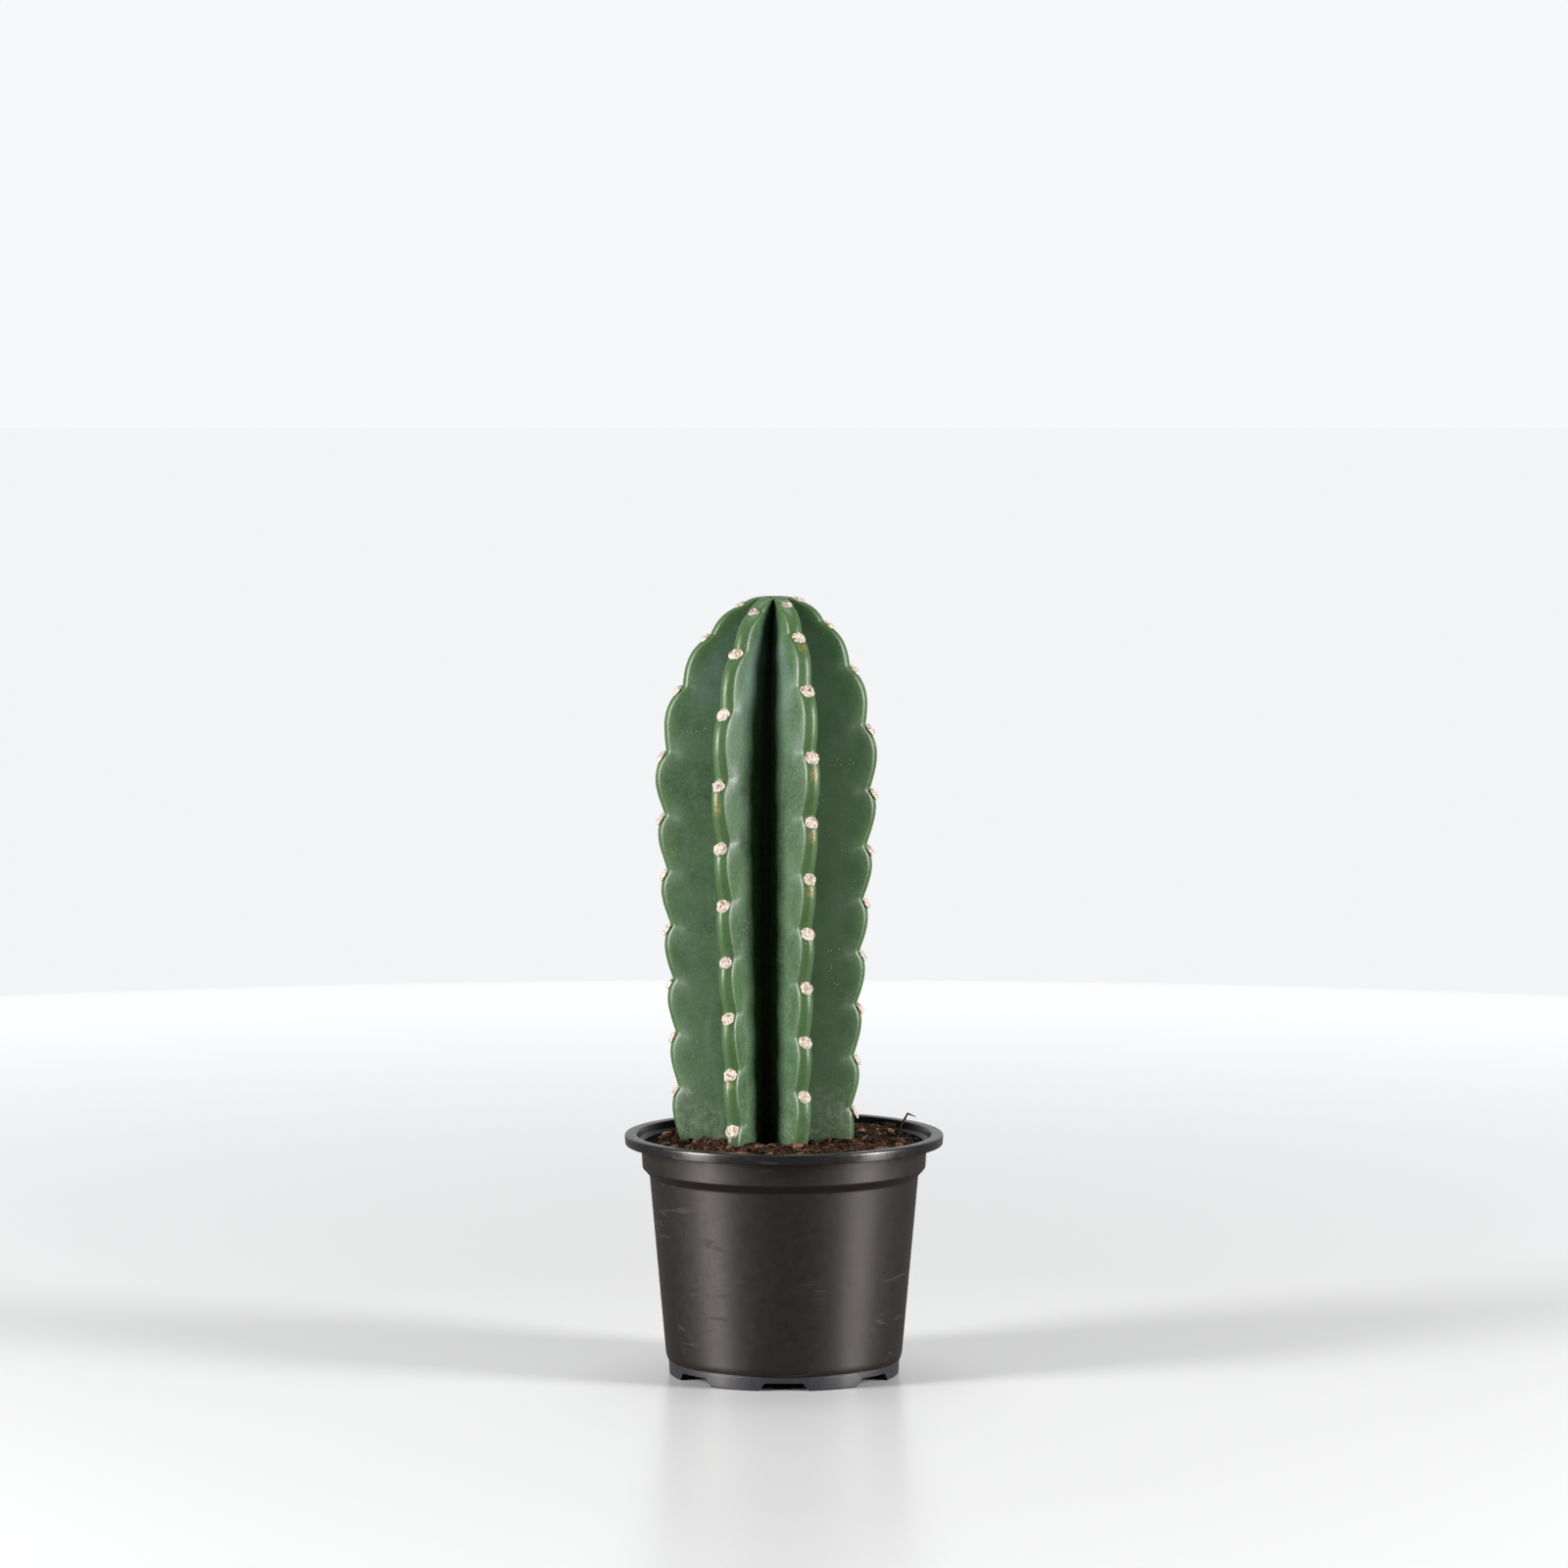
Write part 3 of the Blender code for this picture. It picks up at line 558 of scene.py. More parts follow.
def rib_side(frame_there, side, furrow):
    """A rounded crest whose side runs smoothly into a slightly convex flank, to just before the furrow."""
    crest, half, height, outward, across = frame_there
    across = across * side
    centre = outward * (crest - half * CREST_FLATNESS) + Vector((0, 0, height))
    inward = (furrow - centre).dot(outward) / CREST_FLATNESS
    aside = (furrow - centre).dot(across)
    distance_off = max(math.hypot(inward, aside), half * 1.001)
    last = math.atan2(aside, inward) - math.acos(half / distance_off) - math.radians(FLANK_SWELL)
    last = max(last, math.radians(CREST_LEAST_TURN))
    points = []
    for j in range(CAP_POINTS):
        turn = last * j / (CAP_POINTS - 1)
        points.append(centre + (across * math.sin(turn) + outward * math.cos(turn) * CREST_FLATNESS) * half)
    shoulder = points[-1]
    leaving = (across * math.cos(last) - outward * math.sin(last) * CREST_FLATNESS).normalized()
    drop = Vector((0, 0, (furrow.z - shoulder.z) * FLANK_FALL))
    bend = shoulder + leaving * (furrow - shoulder).length * FLANK_BEND + drop
    for j in range(1, FLANK_POINTS + 1):
        t = j / (FLANK_POINTS + 1)
        points.append(shoulder * (1 - t) ** 2 + bend * 2 * t * (1 - t) + furrow * t * t)
    return points


def half_rib(index, distance, side, furrow):
    """Half a rib's section: the notches are cut only into the crest, and fade out on the flank."""
    notched = rib_side(crest_frame(index, distance), side, furrow)
    whole = rib_side(crest_frame(index, distance, False), side, furrow)
    for j in range(FLANK_POINTS):
        down_flank = (j + 1) / (FLANK_POINTS + 1)
        fade = float(smooth_step(0.0, NOTCH_FLANK_SHARE, down_flank))
        notched[CAP_POINTS + j] = notched[CAP_POINTS + j].lerp(whole[CAP_POINTS + j], fade)
    return notched


def scar_places():
    """Corky scars on the crests: rib, distance, length, strength."""
    draw = random.Random(5)
    marks = [(1, 3, 9.0), (1, 4, 7.0), (0, 3, 12.0), (0, 8, 4.0), (1, 1, 5.0), (1, 5, 6.0)]
    for _ in range(9):
        marks.append((draw.randrange(2, 6), draw.randrange(1, 9), draw.uniform(4, 10)))
    return [(rib, AREOLES[rib][k] + (3.5 + length / 2) * MM, length * MM) for rib, k, length in marks]


def crest_to_crest(this, after, distance, distance_after):
    """The section from one crest through the furrow to just before the next crest."""
    furrow = furrow_point(this, (distance + distance_after) / 2)
    right = half_rib(this, distance, 1, furrow)
    left = half_rib(after, distance_after, -1, furrow)
    return right + [furrow] + left[:0:-1]


def skin_point(point):
    """A section's point, moved to the leaning axis and made a little uneven."""
    point = point + stem_axis(point.z)
    wobble = noise.noise(point * 45) * 0.45 * MM + noise.noise(point * 160) * 0.10 * MM
    away = Vector((point.x - stem_axis(point.z).x, point.y - STEM_BACK_OFFSET, 0))
    fade = min(1.0, max(0.0, (STEM_TIP - point.z) / (12 * MM)))
    if away.length > 1 * MM:
        point = point + away.normalized() * (wobble - 0.25 * MM) * fade
    return point


def scar_strength(scars, rib, distance, beside):
    strength = 0.0
    for scarred_rib, middle, length in scars:
        if scarred_rib == rib and beside < 0.3:
            along = abs(distance - middle) / (length / 2)
            strength = max(strength, 1.2 - along**2 - (beside / 0.18) ** 2)
    return min(1.0, max(0.0, strength))


def skin_masks(height, beside, dark, scar):
    """Where the skin's colours and its painted shade show, by a point's share of the way from its crest (0)
    to the furrow (1).
    """
    return {
        "crest": 1 - smooth_step(0.15, 0.6, beside),
        "flank": smooth_step(0.45, 0.7, beside),
        "young": smooth_step(0.30, 0.375, height),
        "dust": 1 - smooth_step(SOIL_EDGE + 5 * MM, SOIL_EDGE + 40 * MM, height),
        "scar": scar,
        # furrow carries the furrows' painted shade as well as their duller sheen
        "furrow": smooth_step(0.88, 1.0, beside),
        # shade is painted shade on the darkened flanks, not a skin colour
        "shade": dark * smooth_step(0.25, 0.6, beside),
    }


def build_stem(material):
    rows = [rows_of(areoles) for areoles in AREOLES]
    row_count = len(rows[0])
    scars = scar_places()
    verts, masks = [], []
    for i in range(1, row_count - 1):
        for this in range(len(RIBS)):
            after = (this + 1) % len(RIBS)
            section = crest_to_crest(this, after, rows[this][i], rows[after][i])
            count = len(section)
            for j, point in enumerate(section):
                owner, side = (this, 1) if j <= count // 2 else (after, -1)
                beside = min(j, count - j) / HALF_RIB
                point = skin_point(point)
                verts.append(point)
                scar = scar_strength(scars, owner, rows[owner][i], beside)
                masks.append(skin_masks(point.z, beside, PAINTED_SHADE_FLANKS.get((owner, side), 0.0), scar))
    per_row = len(verts) // (row_count - 2)
    faces = []
    for i in range(row_count - 3):
        for j in range(per_row):
            k = (j + 1) % per_row
            a, b = i * per_row, (i + 1) * per_row
            faces.append((a + j, b + j, b + k, a + k))
    for end, first in ((0, 0), (row_count - 1, (row_count - 3) * per_row)):
        _, height = crest_at(rows[0][end])
        verts.append(Vector((0, 0, height)) + stem_axis(height))
        masks.append(masks[first])
        pole = len(verts) - 1
        for j in range(per_row):
            triangle = (first + j, first + (j + 1) % per_row, pole)
            faces.append(triangle if end == 0 else triangle[::-1])
    stem = mesh_object("cactus_skin", verts, faces, material)
    for name in masks[0]:
        point_attribute(stem, name, [mask[name] for mask in masks])
    bm = bmesh.new()
    bm.from_mesh(stem.data)
    weld(bm, stem.data)
    return finish_piece(stem, "cactus_skin", "cactus_stem")


# ---------------------------------------------------------------- areole wool
def crest_point(index, distance):
    crest, _, height, outward, _ = crest_frame(index, distance)
    point = outward * crest + Vector((0, 0, height))
    return point + stem_axis(point.z)


def areole_frame(index, distance):
    """An areole's centre and the crest's own outward, sideways and downward directions there."""
    step = 1.6 * MM
    above = crest_point(index, distance - step)
    below = crest_point(index, distance + step)
    down = (below - above).normalized()
    centre = crest_point(index, distance)
    across = crest_frame(index, distance)[4]
    out = down.cross(across).normalized()
    well_inside = stem_axis(above.z) + Vector((0, 0, above.z - 10 * MM))
    if out.dot(centre - well_inside) < 0:
        out = -out
    return centre, out, across, down


def add_pad(verts, faces, tints, place, radius, age, draw):
    """A domed, grainy felt pad with a ragged lower edge. Its tint runs from 0 (cream) to 1 (brown)."""
    centre, out, across, down = place
    seed = Vector((draw.uniform(0, 50), draw.uniform(0, 50), draw.uniform(0, 50)))
    start = len(verts)
    sunk = centre - out * PAD_SINK
    for i in range(PAD_RINGS + 1):
        turn = math.pi / 2 * i / PAD_RINGS
        for j in range(PAD_STEPS):
            angle = math.tau * j / PAD_STEPS
            ragged = 1 + 0.10 * noise.noise(Vector((math.cos(angle), math.sin(angle), 0)) * 1.7 + seed)
            reach = radius * math.sin(turn) * ragged
            rise = radius * PAD_RISE * math.cos(turn)
            flat = across * math.cos(angle) + down * math.sin(angle) * PAD_LENGTHENING
            point = sunk + flat * reach + out * rise
            grain = noise.noise(point * 800 + seed) * 0.55 * MM
            grain += noise.noise(point * 1900 + seed) * 0.38 * MM
            point = point + (flat * math.sin(turn) + out * math.cos(turn)) * grain
            verts.append(point)
            spot = noise.noise(point * 650 + seed * 2)
            edge = 0.25 - smooth_step(0.3, 0.9, math.sin(angle) * math.sin(turn)) * 0.6
            tints.append(float(min(1.0, max(0.0, 0.25 + age + spot * 0.9 + edge))))
    for i in range(PAD_RINGS):
        for j in range(PAD_STEPS):
            k = (j + 1) % PAD_STEPS
            a, b = start + i * PAD_STEPS, start + (i + 1) * PAD_STEPS
            faces.append((a + j, b + j, b + k, a + k))
    faces.append(tuple(start + PAD_RINGS * PAD_STEPS + j for j in reversed(range(PAD_STEPS))))


def add_hair(verts, faces, tints, root, way, droop, length, thick, tint):
    """A tapered, bent hair with three sides."""
    side = way.orthogonal().normalized()
    other = way.cross(side).normalized()
    start = len(verts)
    bends = 4
    for i in range(bends):
        t = i / bends
        centre = root + way * length * t + droop * length * t * t * 0.5
        for k in range(3):
            angle = math.tau * k / 3
            around = side * math.cos(angle) + other * math.sin(angle)
            verts.append(centre + around * thick * (1 - 0.7 * t))
            tints.append(tint)
    verts.append(root + way * length + droop * length * 0.5)
    tints.append(tint)
    for i in range(bends - 1):
        for k in range(3):
            a, b = start + i * 3, start + (i + 1) * 3
            faces.append((a + k, a + (k + 1) % 3, b + (k + 1) % 3, b + k))
    last = start + (bends - 1) * 3
    for k in range(3):
        faces.append((last + k, last + (k + 1) % 3, len(verts) - 1))
    faces.append((start + 2, start + 1, start))


def add_areole(verts, faces, tints, place, radius, age, draw):
    """A pad with short hairs. age is the share of weathered brown wool that it has."""
    add_pad(verts, faces, tints, place, radius, age, draw)
    centre, out, across, down = place
    for _ in range(AREOLE_HAIRS):
        angle = draw.uniform(0, math.tau)
        flat = across * math.cos(angle) + down * math.sin(angle)
        share = math.sqrt(draw.uniform(0.15, 1.0))
        rise = 0.5 * math.sqrt(max(0.0, 1 - share**2)) - 0.1
        root = centre + flat * radius * share * 0.9 + out * radius * rise
        way = out * draw.uniform(0.2, 0.9) + flat * draw.uniform(0.5, 1.0) + down * draw.uniform(0, 0.5)
        way.normalize()
        length = draw.uniform(0.6, 1.3) * MM * (1 + age)
        tint = min(1.0, max(0.0, draw.uniform(0, 0.6) + age))
        add_hair(verts, faces, tints, root, way, down, length, draw.uniform(0.05, 0.09) * MM, tint)


def wool_piece(name, verts, faces, tints, material):
    piece = mesh_object(name, verts, faces, material)
    point_attribute(piece, "tint", tints)
    return finish_piece(piece, "wool")


def build_rib_wool(index, material):
    draw = random.Random(40 + index)
    verts, faces, tints = [], [], []
    for distance in AREOLES[index]:
        place = areole_frame(index, distance)
        if place[0].z < SOIL_EDGE:
            continue
        age = 0.28 * math.exp(-distance / (45 * MM))
        growth = 0.82 + 0.18 * min(1.0, distance / (60 * MM))
        radius = AREOLE_RADIUS * draw.uniform(0.92, 1.06) * growth
        add_areole(verts, faces, tints, place, radius, age, draw)
    return wool_piece(f"areole_wool_{index + 1}", verts, faces, tints, material)


def build_tip_wool(material):
    draw = random.Random(77)
    verts, faces, tints = [], [], []
    _, tip_height = crest_at(0.0)
    up, right, front = Vector((0, 0, 1)), Vector((1, 0, 0)), Vector((0, -1, 0))
    centre = Vector((0, 0, tip_height)) + stem_axis(tip_height) + front * TIP_WOOL_FORWARD
    add_pad(verts, faces, tints, (centre, up, right, front), TIP_WOOL_RADIUS, 0.4, draw)
    for _ in range(TIP_HAIRS):
        angle = draw.uniform(0, math.tau)
        flat = right * math.cos(angle) + front * math.sin(angle)
        root = centre + flat * draw.uniform(0.2, 3.2) * MM - up * 0.2 * MM
        way = (up + flat * draw.uniform(-0.3, 0.8)).normalized()
        length = draw.uniform(0.8, 1.3) * MM
        add_hair(verts, faces, tints, root, way, flat, length, 0.08 * MM, draw.uniform(0.2, 1))
    return wool_piece("tip_wool", verts, faces, tints, material)


# ---------------------------------------------------------------- nursery pot
def rounded(corners, arc_steps=5):
    """A profile whose corners (radius, height, rounding) are eased over the length of their rounding."""
    points = []
    for i, (x, z, rounding) in enumerate(corners):
        here = Vector((x, z))
        if rounding == 0 or i in (0, len(corners) - 1):
            points.append(here)
            continue
        before = Vector(corners[i - 1][:2]) - here
        after = Vector(corners[i + 1][:2]) - here
        start = here + before.normalized() * min(rounding, before.length * 0.48)
        end = here + after.normalized() * min(rounding, after.length * 0.48)
        for k in range(arc_steps + 1):
            t = k / arc_steps
            points.append(start * (1 - t) ** 2 + here * 2 * t * (1 - t) + end * t * t)
    return points


def pot_corners():
    """The pot's profile in millimetres from its axis and its base, each corner with its rounding."""
    rim, top = RIM_RADIUS / MM, POT_HEIGHT / MM
    return (
        (0.0, 6.9, 0),
        (56.9, 6.9, 3.0),
        (58.3, 9.9, 1.5),
        (66.4, 101.2, 1.0),
        (70.0, 105.1, 1.0),
        (70.6, 117.1, 0.7),
        (rim - 7.2, 117.4, 0.9),
        (rim - 6.1, top - 0.1, 1.0),
        (rim - 0.1, top, 1.5),
        (rim - 0.5, top - 5.2, 0.5),
        (rim - 1.6, top - 5.2, 0.4),
        (rim - 1.7, top - 1.5, 0.9),
        (rim - 4.7, top - 1.3, 0.9),
        (rim - 6.1, 116.2, 0.7),
        (71.8, 115.9, 0.7),
        (71.2, 104.5, 0.6),
        (67.6, 100.5, 0.8),
        (59.5, 10.0, 1.6),
        (58.65, 7.5, 0.35),
        (57.7, 7.35, 0.12),
        (57.75, 6.9, 0.12),
        (58.1, 6.6, 0.3),
        (57.8, 0.3, 0.4),
        (57.3, 0.0, 0.3),
        (54.6, 0.0, 0.5),
        (54.5, 5.5, 0.8),
        (0.0, 5.5, 0),
    )


def notch_cutter(turn):
    """A block with slanted ends that cuts one drainage notch in the foot ring."""
    bm = bmesh.new()
    bmesh.ops.create_cube(bm, size=1.0)
    for vert in bm.verts:
        top = vert.co.z > 0
        vert.co.x *= FOOT_NOTCH_TOP if top else FOOT_NOTCH_FOOT
        vert.co.y = -FOOT_RADIUS + vert.co.y * FOOT_NOTCH_DEPTH
        vert.co.z = FOOT_NOTCH_HEIGHT if top else -1.0 * MM
    upper = [e for e in bm.edges if abs(e.verts[0].co.y - e.verts[1].co.y) > 5 * MM and e.verts[0].co.z > 0]
    bmesh.ops.bevel(bm, geom=upper, offset=0.9 * MM, segments=3, affect="EDGES", profile=0.5)
    bmesh.ops.transform(bm, matrix=Matrix.Rotation(turn, 4, "Z"), verts=bm.verts)
    return bm


def drain_cutter(x, y, radius, segments):
    """A cylinder that cuts one drain hole in the floor."""
    bm = bmesh.new()
    place = Matrix.Translation((x, y, FLOOR_MIDDLE))
    bmesh.ops.create_cone(
        bm,
        cap_ends=True,
        segments=segments,
        radius1=radius,
        radius2=radius,
        depth=DRAIN_CUT_DEPTH,
        matrix=place,
    )
    return bm


def pot_cutters():
    cutters = []
    for k in range(FOOT_NOTCHES):
        turn = k * math.tau / FOOT_NOTCHES
        x, y = DRAIN_CIRCLE_RADIUS * math.sin(turn), -DRAIN_CIRCLE_RADIUS * math.cos(turn)
        cutters.append(notch_cutter(turn))
        cutters.append(drain_cutter(x, y, DRAIN_RADIUS, 32))
    return cutters + [drain_cutter(0, 0, MIDDLE_DRAIN_RADIUS, 40)]


def build_pot(material):
    profile = rounded(pot_corners())
    mesh = bpy.data.meshes.new("pot_body")
    edges = [(i, i + 1) for i in range(len(profile) - 1)]
    mesh.from_pydata([(p.x * MM, 0.0, p.y * MM) for p in profile], edges, [])
    pot = link(bpy.data.objects.new("pot_body", mesh))
    screw = pot.modifiers.new("turn", "SCREW")
    screw.steps = POT_STEPS
    screw.render_steps = POT_STEPS
    screw.use_merge_vertices = True
    screw.merge_threshold = 1e-6
    cutters = []
    for index, bm in enumerate(pot_cutters()):
        mesh = bpy.data.meshes.new(f"cutter_{index}")
        weld(bm, mesh)
        cutter = link(bpy.data.objects.new(f"cutter_{index}", mesh))
        boolean = pot.modifiers.new(f"cut_{index}", "BOOLEAN")
        boolean.operation = "DIFFERENCE"
        boolean.solver = "EXACT"
        boolean.object = cutter
        cutters.append(cutter)
    graph = bpy.context.evaluated_depsgraph_get()
    whole = bpy.data.meshes.new_from_object(pot.evaluated_get(graph))
    pot.modifiers.clear()
    pot.data = whole
    for cutter in cutters:
        bpy.data.objects.remove(cutter)
    whole.materials.clear()
    whole.materials.append(material)
    whole.shade_smooth()
    whole.set_sharp_from_angle(angle=math.radians(38))
    z = np.array([v.co.z for v in whole.vertices])
    r = np.array([math.hypot(v.co.x, v.co.y) for v in whole.vertices])
    on_foot = (z < FOOT_TOP) & (r > 50 * MM)
    on_lip = (z > POT_HEIGHT - LIP_DEPTH) & (r > LIP_INNER_RADIUS)
    point_attribute(pot, "foot", on_foot.astype(float))
    point_attribute(pot, "lip", on_lip.astype(float))
    return finish_piece(pot, "pot_plastic", "nursery_pot")


# ---------------------------------------------------------------- soil and what lies on it
def soil_height(x, y):
    across = min(1.0, math.hypot(x, y) / SOIL_RADIUS)
    raised = 0.0
    for (heap_x, heap_y), (spread_x, spread_y), height in SOIL_HEAPS:
        raised += height * math.exp(-(((x - heap_x) / spread_x) ** 2) - ((y - heap_y) / spread_y) ** 2)
    return SOIL_EDGE + SOIL_CROWN * (1 - across**2) + raised * (1 - across**10)


def soil_detail(x, y):
    p = Vector((x, y, 0.0))
    lumps = noise.noise(p * 110) * 1.3 + noise.noise(p * 300 + Vector((7, 0, 0))) * 1.0
    grit = noise.noise(p * 700 + Vector((0, 9, 0))) * 0.6
    return (lumps + grit) * MM


def build_soil(material):
    """The uneven top, from its middle outwards, and the root ball's side and foot below it."""
    verts, faces = [Vector((0, 0, soil_height(0, 0)))], []
    for i in range(1, SOIL_RINGS + 1):
        radius = SOIL_RADIUS * i / SOIL_RINGS
        roughness = 1 - smooth_step(0.965, 1.0, i / SOIL_RINGS) * 0.8
        for j in range(SOIL_STEPS):
            angle = math.tau * j / SOIL_STEPS
            x, y = radius * math.cos(angle), radius * math.sin(angle)
            verts.append(Vector((x, y, soil_height(x, y) + soil_detail(x, y) * roughness)))
    for radius, height in ROOT_BALL_SIDE:
        for j in range(SOIL_STEPS):
            angle = math.tau * j / SOIL_STEPS
            verts.append(Vector((radius * math.cos(angle), radius * math.sin(angle), height)))
    verts.append(Vector((0, 0, ROOT_BALL_FOOT)))
    for j in range(SOIL_STEPS):
        faces.append((0, 1 + j, 1 + (j + 1) % SOIL_STEPS))
    bands = SOIL_RINGS + len(ROOT_BALL_SIDE) - 1
    for i in range(bands):
        for j in range(SOIL_STEPS):
            k = (j + 1) % SOIL_STEPS
            a, b = 1 + i * SOIL_STEPS, 1 + (i + 1) * SOIL_STEPS
            faces.append((a + j, b + j, b + k, a + k))
    last = 1 + bands * SOIL_STEPS
    for j in range(SOIL_STEPS):
        faces.append((last + (j + 1) % SOIL_STEPS, last + j, len(verts) - 1))
    soil = mesh_object("soil_bed", verts, faces, material)
    return finish_piece(soil, "soil", "potting_soil")


def stem_outline():
    """The stem's outline where it meets the soil, as a closed polygon."""
    at = min(CREST_LINE, key=lambda entry: abs(entry[2] - SOIL_EDGE - 3 * MM))[0]
    outline = []
    for this in range(len(RIBS)):
        section = crest_to_crest(this, (this + 1) % len(RIBS), at, at)
        outline += [point + stem_axis(point.z) for point in section]
    return [(point.x, point.y) for point in outline]


def inside(outline, x, y):
    """Whether a place is inside a polygon, by the edges that a ray from it crosses."""
    odd = False
    for (x0, y0), (x1, y1) in zip(outline, outline[1:] + outline[:1]):
        if (y0 > y) != (y1 > y) and x < (x1 - x0) * (y - y0) / (y1 - y0) + x0:
            odd = not odd
    return odd


def open_soil(draw, outline, margin=1.5 * MM):
    """A random place on the soil that the stem leaves free."""
    while True:
        angle = draw.uniform(0, math.tau)
        radius = (SOIL_RADIUS - margin) * math.sqrt(draw.uniform(0, 1))
        x, y = radius * math.cos(angle), radius * math.sin(angle)
        if not inside(outline, x, y):
            return x, y


def unit_ball(subdivisions):
    bm = bmesh.new()
    bmesh.ops.create_icosphere(bm, subdivisions=subdivisions, radius=1.0)
    bm.verts.ensure_lookup_table()
    verts = [v.co.copy() for v in bm.verts]
    faces = [tuple(v.index for v in f.verts) for f in bm.faces]
    bm.free()
    return verts, faces


def build_crumbs(name, count, sizes, subdivisions, seed, outline, material):
    """Lumpy crumbs scattered on the soil, most of them small and dark."""
    draw = random.Random(seed)
    base_verts, base_faces = unit_ball(subdivisions)
    verts, faces, tints = [], [], []
    for _ in range(count):
        x, y = open_soil(draw, outline)
        size = draw.uniform(0, 1) ** 2.2 * (sizes[1] - sizes[0]) + sizes[0]
        stretch = Vector((draw.uniform(0.8, 2.4), draw.uniform(0.5, 1.0), draw.uniform(0.3, 0.8)))
        yaw = Matrix.Rotation(draw.uniform(0, math.tau), 3, "Z")
        turn = yaw @ Matrix.Rotation(draw.uniform(-0.7, 0.7), 3, "X")
        seed_at = Vector((draw.uniform(0, 90), draw.uniform(0, 90), 0))
        place = Vector((x, y, soil_height(x, y) + soil_detail(x, y) + size * 0.25))
        tint = draw.uniform(0, 1) ** 2.2
        start = len(verts)
        for co in base_verts:
            rough = 1 + 0.7 * noise.noise(co * 1.9 + seed_at)
            verts.append(place + turn @ (co * stretch) * size * rough)
            tints.append(tint)
        faces += [tuple(start + k for k in face) for face in base_faces]
    piece = mesh_object(name, verts, faces, material)
    point_attribute(piece, "tint", tints)
    return finish_piece(piece, "soil")


def build_fibres(count, outline, material):
    """Thin, curling strands that lie over the soil."""
    draw = random.Random(23)
    verts, faces, tints = [], [], []
    for _ in range(count):
        x, y = open_soil(draw, outline, 3 * MM)
        z = soil_height(x, y) + soil_detail(x, y)
        length = draw.uniform(3, 9) * MM
        yaw = draw.uniform(0, math.tau)
        curl = draw.uniform(-1.6, 1.6)
        thick = draw.uniform(0.08, 0.2) * MM
        tint = draw.uniform(0.2, 1.0)
        points = []
        bends = 7
        here = Vector((x, y, z + 0.2 * MM))
        for i in range(bends + 1):
            points.append(here.copy())
            heading = yaw + curl * i / bends
            here = here + Vector((math.cos(heading), math.sin(heading), 0)) * length / bends
            if math.hypot(here.x, here.y) > SOIL_RADIUS - 0.5 * MM:
                break
            lift = math.sin(math.pi * i / bends) * draw.uniform(0.2, 1.0) * MM
            here.z = soil_height(here.x, here.y) + soil_detail(here.x, here.y) + 0.2 * MM + lift
        if len(points) < 3:
            continue
        start = len(verts)
        for i, point in enumerate(points):
            way = (points[min(i + 1, len(points) - 1)] - points[max(i - 1, 0)]).normalized()
            side = way.cross(Vector((0, 0, 1))).normalized()
            up = side.cross(way)
            taper = 1 - 0.6 * abs(2 * i / (len(points) - 1) - 1) ** 2
            for k in range(4):
                angle = math.tau * k / 4
                verts.append(point + (side * math.cos(angle) + up * math.sin(angle)) * thick * taper)
                tints.append(tint)
        for i in range(len(points) - 1):
            for k in range(4):
                a, b = start + i * 4, start + (i + 1) * 4
                faces.append((a + k, a + (k + 1) % 4, b + (k + 1) % 4, b + k))
        last = start + (len(points) - 1) * 4
        faces.append((start + 3, start + 2, start + 1, start))
        faces.append((last, last + 1, last + 2, last + 3))
    piece = mesh_object("coir_fibres", verts, faces, material)
    point_attribute(piece, "tint", tints)
    return finish_piece(piece, "coir")


def build_chips(material):
    """A torn, fibrous chip for each of the CAD model's chips, in the same place."""
    for name, node in sorted(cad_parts.items()):
        if not name.startswith("coir_chip"):
            continue
        bm = bmesh.new()
        bm.from_mesh(node.data)
        bmesh.ops.remove_doubles(bm, verts=bm.verts, dist=0.01 * MM)
        bmesh.ops.subdivide_edges(bm, edges=bm.edges, cuts=3, use_grid_fill=True, smooth=0.4)
        middle = sum((v.co for v in bm.verts), Vector()) / len(bm.verts)
        seed_at = Vector((len(name) + middle.x * 900, middle.y * 900, 0))
        for vert in bm.verts:
            p = vert.co - middle
            tear = noise.noise(Vector((p.x * 260, p.y * 900, p.z * 900)) + seed_at) * 0.35 * MM
            vert.co += p.normalized() * (tear - 0.15 * MM) if p.length > 0 else p
            vert.co.z -= 0.55 * MM
        mesh = bpy.data.meshes.new(f"torn_{name}")
        weld(bm, mesh)
        mesh.materials.clear()
        mesh.materials.append(material)
        mesh.shade_smooth()
        mesh.set_sharp_from_angle(angle=math.radians(50))
        chip = link(bpy.data.objects.new(f"torn_{name}", mesh))
        finish_piece(chip, "coir", name)


